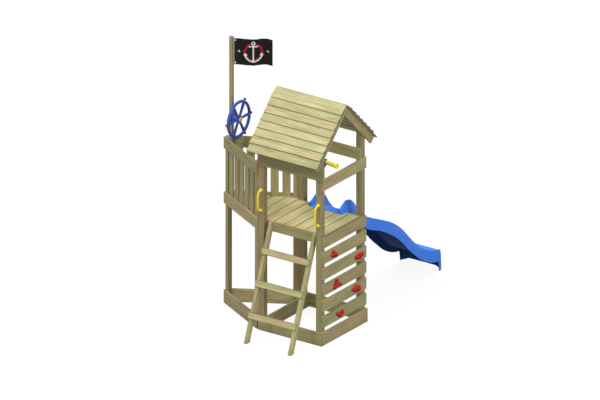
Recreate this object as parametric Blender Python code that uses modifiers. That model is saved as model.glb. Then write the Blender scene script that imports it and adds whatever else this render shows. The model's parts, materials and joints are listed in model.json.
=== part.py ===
"""Wooden play tower shaped like a small ship, with a ladder, climbing wall, slide, wheel and flag.

Blender 4.5, metres, +Z up. +X points to the climbing wall, +Y down the slide, and the ladder stands
on the -Y side. Everything is set out from the middle of the tower, at ground level. At the end the
whole model is moved so that the middle of its footprint is the origin.
"""
import math

import bmesh
import bpy
from mathutils import Matrix, Vector

# Fits
GAP = 0.0003  # between faces that touch
BORE_CLEARANCE = 0.0004  # round a bolt that doesn't turn
TURN_CLEARANCE = 0.0006  # round a pin or an axle that something turns on
EDGE = 0.002  # eased edge of planed timber
PLASTIC_EDGE = 0.0015
ROUND_SIDES = 24
BOLT_SIDES = 12
MERGE = 0.00005

# Tower: four posts, boards on their faces
TOWER_WIDTH = 0.955  # over the posts, both ways
POST_SIDE = 0.080
POST_HEIGHT = 2.6125
POST_TOP_CLEARANCE = 0.008  # from a post's top to the line of the rafters' top edges
BOARD_T = 0.025
BASE_HEIGHT = 0.180
BASE_END_SETBACK = 0.010  # from the left corner to the front and back base boards
BEAM_HEIGHT = 0.154
BEAM_FRONT_BOTTOM = POST_HEIGHT - 0.3805
BEAM_BACK_BOTTOM = POST_HEIGHT - 0.3905
RAIL_BOTTOM = POST_HEIGHT - 0.5215

# Deck
DECK_TOP = 1.461
DECK_BOARD_T = 0.025
DECK_BOARD_COUNT = 6
DECK_SEAM = 0.005
FASCIA_HEIGHT = 0.130
SIDE_FASCIA_HEIGHT = 0.137
SIDE_FASCIA_DROP = 0.012  # from the deck's top to the side fascia's top
JOIST_T = 0.045

# Climbing wall
CLIMB_BOARD_HEIGHT = 0.154
CLIMB_GAP = 0.0605
CLIMB_COUNT = 5

# Bow: two panels that run from the tower's left corners to a stem post
BOW_REACH = 0.850  # from the tower's left side to where the panels' inner faces would meet
BOW_TIP_SETBACK = 0.0168
BOW_BOARD_SETBACK = 0.0071  # from the tower's corner to the boards' ends
BOW_BOARD_HEIGHT = 0.154
BOW_MID_TOP = 1.505
BOW_RAIL_TOP = 2.250
STEM_DEPTH = 0.0813  # from the meeting point of the inner faces to the stem's back
UPRIGHT_WIDTH = 0.110
UPRIGHT_T = 0.045
SLAT_WIDTH = 0.102
SLAT_T = 0.020
SLAT_COUNT = 5
SLAT_START = 0.130
SLAT_END_CLEARANCE = 0.0369  # from the last slat to the upright
SLAT_TOP_DROP = 0.057  # from the rail's top to the slats' tops
CLEAT_SIDE = 0.045
CLEAT_CLEARANCE = 0.002
DECK_EDGE_CLEARANCE = 0.003
SHORTEST_BOARD = 0.090  # a narrower rest is left on the board before it

# Mast and flag
MAST_SIDE = 0.045
MAST_TOP = 3.622
MAST_BOLT_DROPS = (0.120, 0.560)  # below the bow rail's top
FLAG_LENGTH = 0.486
FLAG_HEIGHT = 0.356
FLAG_T = 0.0016
FLAG_TOP_DROP = 0.022  # below the mast's top
FLAG_ANGLE = math.radians(29.0)  # from +X towards +Y
FLAG_CLEARANCE = 0.006  # from the mast's face to the hoist edge
# Main folds, as share of the length and sideways offset
FLAG_WAVE = (
    (0.0, 0.0), (0.08, 0.0), (0.35, -0.017), (0.50, -0.020), (0.70, 0.020), (0.82, 0.032), (1.0, -0.012),
)
EYELET_INSET = 0.014
EYELET_END_INSET = 0.026
EYELET_BORE = 0.004
HOOK_WIRE_RADIUS = 0.0015
HOOK_FACE_CLEARANCE = 0.0015  # from the mast's face to the hook's ring
HOOK_BITE = 0.020

# Roof
ROOF_SLOPE = math.radians(45.0)
RAFTER_DEPTH = 0.097
RAFTER_T = 0.025
PLANK_T = 0.016
PLANK_WIDTH = 0.154
PLANK_COUNT = 8
EAVE_REACH = 0.2417  # down the slope, from over the posts' faces to the eave
LAP_BITE = 0.0008  # each plank is nailed down into the one below by this much
ROOF_OVERHANG = 0.060  # beyond the posts, at each gable
RAFTER_SETBACK = 0.004  # from the eave plank's lower edge to the rafter's end

# Ladder
LADDER_CLEARANCE = 0.040  # from the posts to the stringers
STRINGER_T = 0.047
STRINGER_DEPTH = 0.065
STRINGER_HEAD = 0.03307  # of the level cut, what reaches the deck's top
LADDER_SLOPE = math.radians(69.6)
RUNG_OVERHANG = 0.0  # flush with the stringers
RUNG_HEIGHT = 0.084
RUNG_T = 0.028
RUNG_COUNT = 3
RUNG_SPACING = 0.387  # in height
RUNG_TOP_DROP = 0.343  # from the deck's top to the upper rung's middle

# Handles
HANDLE_LOW = 1.618
HANDLE_HIGH = 1.891
HANDLE_BAR_RADIUS = 0.013
HANDLE_FOOT_RADIUS = 0.022
HANDLE_STANDOFF = 0.075
HANDLE_STRAIGHT = 0.095  # straight length in the middle of the bar

# Slide. Shares are of the run from its mouth; bed heights are shares of the bed's height there.
SLIDE_WALL = 0.006
SLIDE_LAP = 0.0885  # how far the mouth lies over the deck
SLIDE_RUN = 2.116
SLIDE_TOE_LIP = 0.033  # from the ground to the toe's lower edge
SLIDE_NOSE = 0.020  # how far the toe's rounded end runs past the bed's end
SLIDE_FOOT = 0.042  # each corner foot's length along the run
SLIDE_FOOT_WIDTH = 0.020
SLIDE_FOOT_TAPER = 0.075  # from the foot to where the toe's edge is level
SLIDE_ROWS = 34
SLIDE_SKIRT_LIFT = 0.003  # from the underside of the bed to the skirt's edge over the deck
SLIDE_BED = (
    (0.0, 1.0), (0.056, 1.0), (0.10, 0.969), (0.14, 0.936), (0.19, 0.877), (0.235, 0.818), (0.30, 0.761),
    (0.445, 0.658), (0.522, 0.600), (0.60, 0.520), (0.76, 0.297), (0.815, 0.238), (0.87, 0.200),
    (0.925, 0.182), (1.0, 0.178),
)
SLIDE_RISE = (
    (0.0, 0.050), (0.075, 0.142), (0.115, 0.170), (0.15, 0.156), (0.19, 0.107), (0.24, 0.088), (0.45, 0.094),
    (0.60, 0.098), (0.76, 0.084), (0.87, 0.058), (1.0, 0.004),
)
SLIDE_SKIRT = (
    (0.0, 0.0), (0.06, 0.0), (0.12, 0.016), (0.1755, 0.068), (0.233, 0.083), (0.38, 0.054),
    (0.49, 0.072), (0.573, 0.091), (0.66, 0.110), (0.746, 0.091), (0.832, 0.090), (0.89, 0.100),
    (1.0, 0.135),
)
SLIDE_BED_HALF = ((0.0, 0.190), (0.5, 0.195), (0.85, 0.210), (1.0, 0.240))
SLIDE_CREST_HALF = (
    (0.0, 0.215), (0.12, 0.217), (0.30, 0.225), (0.60, 0.244), (0.815, 0.261), (1.0, 0.276),
)
SLIDE_EDGE_HALF = ((0.0, 0.268), (0.12, 0.276), (0.85, 0.290), (1.0, 0.298))
SLIDE_BOLT_INSET = 0.040
SLIDE_BOLT_SPREAD = 0.150  # from the middle to each bolt

# Ship's wheel
WHEEL_HEIGHT = 2.525
WHEEL_STANDOFF = 0.0875  # from the mast's face to the middle of the rim
WHEEL_RING_RADIUS = 0.230
WHEEL_RING_TUBE = 0.016
WHEEL_KNOB_REACH = 0.275
WHEEL_KNOB_RADIUS = 0.0125
WHEEL_KNOB_LENGTH = 0.016
WHEEL_SPOKE_RADIUS = 0.0115
WHEEL_SPOKE_PAIRS = 3
HUB_RADIUS = 0.036
HUB_LENGTH = 0.044
AXLE_RADIUS = 0.006
AXLE_HEAD_RADIUS = 0.011
AXLE_HEAD_T = 0.006
AXLE_INSET = 0.004  # of the axle's end in the bracket
CAP_RADIUS = 0.030
CAP_LENGTH = 0.020
CAP_WALL = 0.004
BRACKET_FLANGE_RADIUS = 0.072
BRACKET_FLANGE_T = 0.012
BRACKET_NECK_RADIUS = 0.030

# Telescope, on the inner face of the front right post
SCOPE_HEIGHT = POST_HEIGHT - 0.1825
SCOPE_STANDOFF = 0.070  # from the post to the tube's middle
SCOPE_PITCH = math.radians(5.0)  # nose down at rest
SCOPE_BASE_RADIUS = 0.057
SCOPE_BASE_T = 0.012
SCOPE_STUD_RADIUS = 0.010
SCOPE_TUBE_RADIUS = 0.027
SCOPE_WALL = 0.004
SCOPE_RING_RADIUS = 0.030
SCOPE_RING_LENGTH = 0.014
SCOPE_REAR = 0.135
SCOPE_FRONT = 0.184
YOKE_ARM_T = 0.009
YOKE_ARM_CLEARANCE = 0.002
YOKE_WEB_T = 0.010
YOKE_WIDTH = 0.038
YOKE_NOSE = 0.018  # of the arms past the pins' middle
SCOPE_PIN_RADIUS = 0.005

# Bolts
BOLT_RADIUS = 0.004
BOLT_POCKET_RADIUS = 0.011
BOLT_POCKET_WALL = 0.018  # of a climbing hold, between the bolt's head and the board
MAST_BOLT_BITE = 0.040
SCREW_RADIUS = 0.0025  # of the wood screws that hold boards to their rails, joists and cleats
SCREW_SIDES = 6

# Climbing holds: board number from below, distance from the wall's front end, half width and half
# height, protrusion, how far the lobes stand out, their number, and the angle of the first one
HOLDS = {
    "hold_upper_front": (5, 0.228, 0.060, 0.046, 0.046, 0.14, 2, 125.0),
    "hold_upper_back": (4, 0.775, 0.068, 0.043, 0.044, 0.10, 2, 20.0),
    "hold_middle_front": (3, 0.290, 0.056, 0.058, 0.052, 0.30, 3, 95.0),
    "hold_lower_back": (2, 0.715, 0.078, 0.050, 0.056, 0.12, 1, 170.0),
    "hold_lower_front": (1, 0.360, 0.060, 0.042, 0.040, 0.22, 2, 150.0),
}
HOLD_SEGMENTS = 20
HOLD_RINGS = 10

HALF = TOWER_WIDTH / 2
FACE = HALF + BOARD_T  # outer face of a board on the posts
BOW_ANGLE = math.atan2(HALF, BOW_REACH)
BOW_SIDE = math.hypot(HALF, BOW_REACH)
BOW_BOARD_LENGTH = BOW_SIDE - BOW_TIP_SETBACK - BOW_BOARD_SETBACK
LAST_SLAT = BOW_SIDE - UPRIGHT_WIDTH - SLAT_END_CLEARANCE - SLAT_WIDTH
SLAT_PITCH = (LAST_SLAT - SLAT_START) / (SLAT_COUNT - 1)
RAFTER_APEX = POST_HEIGHT + POST_TOP_CLEARANCE + HALF * math.tan(ROOF_SLOPE)  # of their top edges
EAVE = HALF / math.cos(ROOF_SLOPE) + EAVE_REACH  # from the apex down the slope
PLANK_PITCH = (EAVE - PLANK_WIDTH) / (PLANK_COUNT - 1)
DECK_UNDERSIDE = DECK_TOP - DECK_BOARD_T
RAIL_SLAT_TOP = BOW_RAIL_TOP - SLAT_TOP_DROP
POST_INNER = HALF - POST_SIDE
LADDER_WIDTH = 2 * (POST_INNER - LADDER_CLEARANCE)
RUNG_LENGTH = LADDER_WIDTH + 2 * RUNG_OVERHANG
DECK_HALF_DEPTH = POST_INNER - BOARD_T  # to the inner faces of the front and back fascias
MAST_X = -HALF - BOW_REACH + STEM_DEPTH + GAP + MAST_SIDE / 2
MAST_FACE = MAST_X + MAST_SIDE / 2
BOARD_PITCH = TOWER_WIDTH / DECK_BOARD_COUNT

for old in list(bpy.data.objects):
    bpy.data.objects.remove(old, do_unlink=True)

parts = bpy.data.collections.new("play_tower")
cutters = bpy.data.collections.new("cutters")
bpy.context.scene.collection.children.link(parts)
bpy.context.scene.collection.children.link(cutters)

root = bpy.data.objects.new("tower_root", None)
parts.objects.link(root)


def material(name, colour, roughness, metallic=0.0):
    made = bpy.data.materials.new(name)
    made.use_nodes = True
    shader = made.node_tree.nodes["Principled BSDF"]
    shader.inputs["Base Color"].default_value = (*colour, 1.0)
    shader.inputs["Roughness"].default_value = roughness
    shader.inputs["Metallic"].default_value = metallic
    return made


POST_WOOD = material("post_wood", (0.27, 0.23, 0.12), 0.75)
BOARD_WOOD = material("board_wood", (0.30, 0.27, 0.14), 0.75)
DECK_WOOD = material("deck_wood", (0.52, 0.46, 0.24), 0.75)
ROOF_WOOD = material("roof_wood", (0.60, 0.54, 0.29), 0.75)
SLIDE_BLUE = material("slide_blue", (0.05, 0.17, 0.68), 0.35)
WHEEL_BLUE = material("wheel_blue", (0.05, 0.07, 0.36), 0.4)
YELLOW = material("yellow_plastic", (0.85, 0.66, 0.03), 0.4)
RED = material("red_plastic", (0.60, 0.02, 0.03), 0.45)
FLAG_BLACK = material("flag_cloth", (0.02, 0.02, 0.02), 0.9)
STEEL = material("zinc_steel", (0.62, 0.62, 0.60), 0.35, 1.0)


def add(name, data, finish, holder=root):
    data.materials.append(finish)
    obj = bpy.data.objects.new(name, data)
    parts.objects.link(obj)
    obj.parent = holder
    return obj


def ease(obj, width=EDGE):
    if obj.type == "CURVE":
        weld = obj.modifiers.new("caps", "WELD")
        weld.merge_threshold = MERGE
    bevel = obj.modifiers.new("eased_edges", "BEVEL")
    bevel.width = width
    bevel.segments = 1
    bevel.limit_method = "ANGLE"
    bevel.angle_limit = math.radians(40)
    return obj


def boxes(name, spans, finish, holder=root, width=EDGE):
    """One node of separate rectangular boards, each given by its lowest and highest corners."""
    mesh = bpy.data.meshes.new(name)
    shape = bmesh.new()
    for low, high in spans:
        low = Vector(low)
        high = Vector(high)
        place = Matrix.Translation((low + high) / 2) @ Matrix.Diagonal((*(high - low), 1.0))
        bmesh.ops.create_cube(shape, size=1.0, matrix=place)
    shape.to_mesh(mesh)
    shape.free()
    return ease(add(name, mesh, finish, holder), width)


def screwed(obj, specs):
    """Join the boards of one node with wood screws: each has its middle, direction and length."""
    pins = [(middle, direction, SCREW_RADIUS, length) for middle, direction, length in specs]
    return join_cut(obj, cylinders(obj.name + "_screws", pins, sides=SCREW_SIDES), "UNION")


def box(name, low, high, finish, holder=root, width=EDGE):
    return boxes(name, [(low, high)], finish, holder, width)


def counter_clockwise(outline):
    area = sum(a[0] * b[1] - b[0] * a[1] for a, b in zip(outline, outline[1:] + outline[:1]))
    return outline if area > 0 else outline[::-1]


def plates(name, outlines, low, high, axis, finish, holder=root, width=EDGE):
    """Flat outlines with a thickness from low to high along an axis.

    An outline's points are (x, y) for axis Z, (y, z) for axis X and (x, z) for axis Y.
    """
    curve = bpy.data.curves.new(name, "CURVE")
    curve.dimensions = "2D"
    curve.fill_mode = "BOTH"
    curve.extrude = (high - low) / 2
    for outline in outlines:
        corners = counter_clockwise(list(outline))
        spline = curve.splines.new("POLY")
        spline.points.add(len(corners) - 1)
        for point, (u, v) in zip(spline.points, corners):
            point.co = (u, v, 0.0, 1.0)
        spline.use_cyclic_u = True
    obj = add(name, curve, finish, holder)
    middle = (low + high) / 2
    if axis == "Z":
        obj.matrix_basis = Matrix.Translation((0.0, 0.0, middle))
    elif axis == "X":
        turn = Matrix(((0, 0, 1), (1, 0, 0), (0, 1, 0))).to_4x4()
        obj.matrix_basis = Matrix.Translation((middle, 0.0, 0.0)) @ turn
    else:
        turn = Matrix(((1, 0, 0), (0, 0, -1), (0, 1, 0))).to_4x4()
        obj.matrix_basis = Matrix.Translation((0.0, middle, 0.0)) @ turn
    if width:
        ease(obj, width)
    return obj


def as_mesh(obj):
    """Replace a curve or a modified object by its evaluated mesh, so that it can be cut."""
    bpy.context.view_layer.update()
    graph = bpy.context.evaluated_depsgraph_get()
    mesh = bpy.data.meshes.new_from_object(obj.evaluated_get(graph))
    shape = bmesh.new()
    shape.from_mesh(mesh)
    bmesh.ops.remove_doubles(shape, verts=shape.verts, dist=MERGE)
    shape.to_mesh(mesh)
    shape.free()
    solid = bpy.data.objects.new(obj.name + "_solid", mesh)
    for group in obj.users_collection:
        group.objects.link(solid)
    solid.parent = obj.parent
    solid.matrix_basis = obj.matrix_basis.copy()
    name = obj.name
    bpy.data.objects.remove(obj, do_unlink=True)
    solid.name = name
    return solid


def merge_into(obj, other):
    """Put another mesh's solids beside those of the first, in one node."""
    bpy.context.view_layer.update()
    shape = bmesh.new()
    shape.from_mesh(obj.data)
    moved = other.data.copy()
    moved.transform(obj.matrix_world.inverted() @ other.matrix_world)
    shape.from_mesh(moved)
    shape.to_mesh(obj.data)
    shape.free()
    bpy.data.meshes.remove(moved)
    bpy.data.objects.remove(other, do_unlink=True)
    return obj


def aim(location, direction):
    """A matrix that puts local +Z along a direction."""
    turn = Vector(direction).to_track_quat("Z", "Y").to_matrix().to_4x4()
    return Matrix.Translation(Vector(location)) @ turn


def turned(name, profile, location, direction, finish, holder=root, steps=ROUND_SIDES, closed=False):
    """A turned piece: (radius, height) points, down the outer side, spun round local Z."""
    mesh = bpy.data.meshes.new(name)
    edges = [(i, i + 1) for i in range(len(profile) - 1)]
    if closed:
        edges.append((len(profile) - 1, 0))
    mesh.from_pydata([(radius, 0.0, height) for radius, height in profile], edges, [])
    obj = add(name, mesh, finish, holder)
    obj.matrix_basis = aim(location, direction)
    screw = obj.modifiers.new("turned", "SCREW")
    screw.axis = "Z"
    screw.angle = math.tau
    screw.steps = steps
    screw.render_steps = steps
    screw.use_merge_vertices = True
    screw.merge_threshold = MERGE
    screw.use_smooth_shade = True
    return obj


def tube(name, points, radius, finish, holder=root, radii=None, cyclic=False, sides=1):
    """A round bar along a smooth path; sides is the curve's bevel resolution."""
    curve = bpy.data.curves.new(name, "CURVE")
    curve.dimensions = "3D"
    curve.bevel_depth = radius
    curve.bevel_resolution = sides
    curve.use_fill_caps = not cyclic
    spline = curve.splines.new("POLY")
    spline.points.add(len(points) - 1)
    for i, (point, co) in enumerate(zip(spline.points, points)):
        point.co = (*co, 1.0)
        point.radius = radii[i] if radii else 1.0
    spline.use_cyclic_u = cyclic
    return add(name, curve, finish, holder)


def cylinders(name, specs, holder=root, sides=BOLT_SIDES):
    """A cutter of round bores: each has its middle, direction, radius and length."""
    mesh = bpy.data.meshes.new(name)
    shape = bmesh.new()
    for middle, direction, radius, length in specs:
        bmesh.ops.create_cone(
            shape, cap_ends=True, segments=sides, radius1=radius, radius2=radius, depth=length,
            matrix=aim(middle, direction),
        )
    shape.to_mesh(mesh)
    shape.free()
    obj = bpy.data.objects.new(name, mesh)
    cutters.objects.link(obj)
    obj.parent = holder
    obj.hide_render = True
    obj.display_type = "WIRE"
    return obj


def as_cutter(obj):
    """Keep an object only as a Boolean operand."""
    parts.objects.unlink(obj)
    cutters.objects.link(obj)
    obj.hide_render = True
    obj.display_type = "WIRE"
    return obj


def join_cut(obj, other, operation):
    step = obj.modifiers.new(operation.lower(), "BOOLEAN")
    step.operation = operation
    step.solver = "EXACT"
    step.object = other
    return obj


def bore(obj, specs, sides=BOLT_SIDES, holder=root):
    return join_cut(obj, cylinders(obj.name + "_bore", specs, holder, sides), "DIFFERENCE")


def around(radius, clearance, sides):
    """Radius of a many-sided bore whose flats stay clear of a bar by the clearance."""
    return (radius + clearance) / math.cos(math.pi / sides)


def smooth(points, x):
    """A smooth curve through points, in steps of x, without overshoot between level points."""
    last = len(points) - 1
    i = 0
    while i < last - 1 and x > points[i + 1][0]:
        i += 1

    def steepness(k):
        if k == 0:
            return (points[1][1] - points[0][1]) / (points[1][0] - points[0][0])
        if k == last:
            return (points[last][1] - points[last - 1][1]) / (points[last][0] - points[last - 1][0])
        before = (points[k][1] - points[k - 1][1]) / (points[k][0] - points[k - 1][0])
        after = (points[k + 1][1] - points[k][1]) / (points[k + 1][0] - points[k][0])
        return 0.0 if before * after <= 0 else 2 * before * after / (before + after)

    (x0, y0), (x1, y1) = points[i], points[i + 1]
    step = x1 - x0
    t = (x - x0) / step
    curve = (2 * t**3 - 3 * t**2 + 1) * y0 + (t**3 - 2 * t**2 + t) * step * steepness(i)
    return curve + (3 * t**2 - 2 * t**3) * y1 + (t**3 - t**2) * step * steepness(i + 1)


def bow_point(side, along, inset):
    """A point of a bow panel in plan. side is -1 for the front panel and 1 for the back one.

    along runs from where the two inner faces would meet to the tower's corner, and inset is
    measured inwards from the panel's inner face.
    """
    x = -HALF - BOW_REACH + along * math.cos(BOW_ANGLE) + inset * math.sin(BOW_ANGLE)
    y = side * (along * math.sin(BOW_ANGLE) - inset * math.cos(BOW_ANGLE))
    return x, y


def bow_strip(side, start, end, near, far):
    """Outline of a board along a bow panel, between two distances along it and two insets."""
    corners = ((start, near), (end, near), (end, far), (start, far))
    return [bow_point(side, along, inset) for along, inset in corners]


def make_posts():
    corners = {
        "post_front_left": (-1, -1),
        "post_front_right": (1, -1),
        "post_back_right": (1, 1),
        "post_back_left": (-1, 1),
    }
    for name, (sx, sy) in corners.items():
        xs = sorted((sx * HALF, sx * POST_INNER))
        ys = sorted((sy * HALF, sy * POST_INNER))
        box(name, (xs[0], ys[0], 0.0), (xs[1], ys[1], POST_HEIGHT), POST_WOOD)


def make_base_boards():
    left = -HALF + BASE_END_SETBACK
    for name, side in (("base_board_front", -1), ("base_board_back", 1)):
        ys = sorted((side * (HALF + GAP), side * (FACE + GAP)))
        box(name, (left, ys[0], 0.0), (FACE + GAP, ys[1], BASE_HEIGHT), BOARD_WOOD)
    box("base_board_right", (HALF + GAP, -HALF, 0.0), (FACE + GAP, HALF, BASE_HEIGHT), BOARD_WOOD)
    inner = -POST_INNER + GAP
    box("base_board_left", (inner, -HALF, 0.0), (inner + BOARD_T, HALF, BASE_HEIGHT), BOARD_WOOD)


def make_deck():
    low = DECK_TOP - FASCIA_HEIGHT
    for name, side in (("deck_fascia_front", -1), ("deck_fascia_back", 1)):
        ys = sorted((side * (POST_INNER - GAP), side * DECK_HALF_DEPTH))
        box(name, (-HALF, ys[0], low), (HALF, ys[1], DECK_TOP), BOARD_WOOD)
    top = DECK_TOP - SIDE_FASCIA_DROP
    foot = top - SIDE_FASCIA_HEIGHT
    box("deck_fascia_right", (HALF + GAP, -HALF, foot), (FACE + GAP, HALF, top), BOARD_WOOD)

    joist_end = DECK_HALF_DEPTH - GAP
    middles = (-joist_end + JOIST_T / 2, 0.0, joist_end - JOIST_T / 2)
    joist_rows = [(y - JOIST_T / 2, y + JOIST_T / 2) for y in middles]
    spans = [((-HALF, a, low), (HALF, b, DECK_UNDERSIDE - GAP)) for a, b in joist_rows]
    screws = []
    for i in range(DECK_BOARD_COUNT):
        left = -HALF + i * BOARD_PITCH + DECK_SEAM / 2
        right = left + BOARD_PITCH - DECK_SEAM
        spans.append(((left, -joist_end, DECK_UNDERSIDE), (right, joist_end, DECK_TOP)))
        for y in middles:
            screws.append((((left + right) / 2, y, DECK_UNDERSIDE), (0, 0, 1), DECK_BOARD_T))
    floor = screwed(boxes("deck_floor", spans, DECK_WOOD), screws)
    radius = around(BOLT_RADIUS, BORE_CLEARANCE, BOLT_SIDES)
    bore(floor, [((x, y, DECK_TOP), (0, 0, 1), radius, 4 * DECK_BOARD_T) for x, y in slide_bolts()])


def make_bow_deck():
    """Boards across the bow, cut to the panels' inner faces and round the uprights."""
    edge = DECK_EDGE_CLEARANCE
    upright_start = BOW_SIDE - UPRIGHT_WIDTH
    stem_back = -HALF - BOW_REACH + STEM_DEPTH
    outlines = []

    def panel_y(x):
        return (x + HALF + BOW_REACH) * math.tan(BOW_ANGLE) - edge / math.cos(BOW_ANGLE)

    def upright_y(x):
        return panel_y(x) - UPRIGHT_T / math.cos(BOW_ANGLE)

    step_out = bow_point(1, upright_start - edge, 0.0)[0]
    step_in = bow_point(1, upright_start - edge, UPRIGHT_T)[0]
    right = -HALF - DECK_SEAM / 2
    first = True
    while right > stem_back + 2 * DECK_SEAM:
        left = right - BOARD_PITCH + DECK_SEAM
        if left < stem_back + SHORTEST_BOARD:
            left = stem_back + edge
        upper = [(left, panel_y(left)), (right, panel_y(right))]
        if first:
            upper = [
                (left, panel_y(left)), (step_out, panel_y(step_out)), (step_in, upright_y(step_in)),
                (right, upright_y(right)),
            ]
        outlines.append(upper + [(x, -y) for x, y in reversed(upper)])
        right = left - DECK_SEAM
        first = False
    boards = as_mesh(plates("bow_deck", outlines, DECK_UNDERSIDE, DECK_TOP, "Z", DECK_WOOD))

    cleat_start = STEM_DEPTH / math.cos(BOW_ANGLE) + CLEAT_SIDE
    cleat_end = upright_start - CLEAT_CLEARANCE
    strips = [bow_strip(side, cleat_start, cleat_end, GAP, CLEAT_SIDE) for side in (-1, 1)]
    top = DECK_UNDERSIDE - GAP
    cleats = as_mesh(plates("bow_deck_cleats", strips, top - CLEAT_SIDE, top, "Z", POST_WOOD))
    boards = merge_into(boards, cleats)
    screws = []
    for outline in outlines:
        xs = [x for x, y in outline]
        middle = (min(xs) + min(max(xs), step_out)) / 2
        along = (middle + HALF + BOW_REACH) / math.cos(BOW_ANGLE)
        for side in (-1, 1):
            x, y = bow_point(side, along, CLEAT_SIDE / 2)
            screws.append(((x, y, DECK_UNDERSIDE), (0, 0, 1), DECK_BOARD_T))
    screwed(boards, screws)


def make_bow():
    end = BOW_TIP_SETBACK + BOW_BOARD_LENGTH
    rows = {
        "bow_base_board": (0.0, BASE_HEIGHT),
        "bow_mid_board": (BOW_MID_TOP - BOW_BOARD_HEIGHT, BOW_MID_TOP),
        "bow_railing": (BOW_RAIL_TOP - BOW_BOARD_HEIGHT, BOW_RAIL_TOP),
    }
    for place, side in (("front", -1), ("back", 1)):
        strip = bow_strip(side, BOW_TIP_SETBACK, end, -BOARD_T, -GAP)
        made = {}
        for name, (low, high) in rows.items():
            made[name] = plates(name + "_" + place, [strip], low, high, "Z", BOARD_WOOD)
        start = BOW_SIDE - UPRIGHT_WIDTH
        bevel_x = -HALF - GAP
        inset_y = (HALF - UPRIGHT_T / math.cos(BOW_ANGLE)) * side
        cut = math.tan(BOW_ANGLE) * GAP * side
        upright = [
            bow_point(side, start, GAP), (bevel_x, side * HALF - 2 * cut), (bevel_x, inset_y - cut),
            bow_point(side, start, UPRIGHT_T),
        ]
        plates("bow_upright_" + place, [upright], 0.0, BOW_RAIL_TOP, "Z", POST_WOOD)
        slats = []
        screws = []
        across = (math.sin(BOW_ANGLE), -side * math.cos(BOW_ANGLE), 0.0)
        screw_height = (RAIL_SLAT_TOP + BOW_RAIL_TOP - BOW_BOARD_HEIGHT) / 2
        for i in range(SLAT_COUNT):
            first = SLAT_START + i * SLAT_PITCH
            slats.append(bow_strip(side, first, first + SLAT_WIDTH, GAP, SLAT_T))
            x, y = bow_point(side, first + SLAT_WIDTH / 2, 0.0)
            screws.append(((x, y, screw_height), across, SLAT_T))
        rail = as_mesh(made["bow_railing"])
        slats = as_mesh(plates("bow_slats", slats, DECK_TOP + GAP, RAIL_SLAT_TOP, "Z", BOARD_WOOD))
        screwed(merge_into(rail, slats), screws)


def stem_outline():
    """Wedge between the two panels, blunt at the nose."""
    apex = -HALF - BOW_REACH
    slope = math.tan(BOW_ANGLE)
    nose = BOW_TIP_SETBACK * math.cos(BOW_ANGLE)
    inset = GAP / math.cos(BOW_ANGLE)
    return [
        (apex + nose, -nose * slope + inset), (apex + STEM_DEPTH, -STEM_DEPTH * slope + inset),
        (apex + STEM_DEPTH, STEM_DEPTH * slope - inset), (apex + nose, nose * slope - inset),
    ]


def mast_bolts():
    return [(MAST_FACE, 0.0, BOW_RAIL_TOP - drop) for drop in MAST_BOLT_DROPS]


def make_stem_and_mast():
    radius = around(BOLT_RADIUS, BORE_CLEARANCE, BOLT_SIDES)
    depth = 2 * (MAST_SIDE + MAST_BOLT_BITE + BORE_CLEARANCE)
    holes = [(place, (1, 0, 0), radius, depth) for place in mast_bolts()]
    stem = as_mesh(plates("bow_stem_post", [stem_outline()], 0.0, BOW_RAIL_TOP, "Z", POST_WOOD))
    bore(stem, holes)
    low = (MAST_X - MAST_SIDE / 2, -MAST_SIDE / 2, DECK_TOP + GAP)
    high = (MAST_FACE, MAST_SIDE / 2, MAST_TOP)
    bore(box("mast", low, high, POST_WOOD), holes)


def make_beams_and_rail():
    front = BEAM_FRONT_BOTTOM
    top = front + BEAM_HEIGHT
    box("beam_front", (-HALF, -FACE - GAP, front), (FACE, -HALF - GAP, top), BOARD_WOOD)
    back = BEAM_BACK_BOTTOM
    inner = POST_INNER - GAP
    box("beam_back", (-HALF, inner - BOARD_T, back), (HALF, inner, back + BEAM_HEIGHT), BOARD_WOOD)
    top = RAIL_BOTTOM + BEAM_HEIGHT
    box("rail_right", (HALF + GAP, -HALF, RAIL_BOTTOM), (FACE + GAP, HALF, top), BOARD_WOOD)


def roof_point(side, down, out):
    """A point (y, z) of a roof slope: distance down from the apex, and out from the rafters' tops."""
    y = side * (down * math.cos(ROOF_SLOPE) + out * math.sin(ROOF_SLOPE))
    z = RAFTER_APEX - down * math.sin(ROOF_SLOPE) + out * math.cos(ROOF_SLOPE)
    return y, z


def plank_outline(side, top_edge, tilt):
    """A plank whose upper edge rests on the rafters and whose lower edge is lifted by the tilt."""
    points = []
    for across, up in ((0.0, 0.0), (PLANK_WIDTH, 0.0), (PLANK_WIDTH, PLANK_T), (0.0, PLANK_T)):
        down = top_edge + across * math.cos(tilt) - up * math.sin(tilt)
        out = GAP + across * math.sin(tilt) + up * math.cos(tilt)
        points.append(roof_point(side, down, out))
    return points


def ridge_outline(side, tilt):
    """The top plank, cut upright where it meets the one on the other slope."""
    pitch = ROOF_SLOPE - tilt
    lower = plank_outline(side, 0.0, tilt)[1:3]
    y = side * GAP / 2
    z = RAFTER_APEX + GAP / math.cos(ROOF_SLOPE)
    return [(y, z), lower[0], lower[1], (y, z + PLANK_T / math.cos(pitch))]


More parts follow.
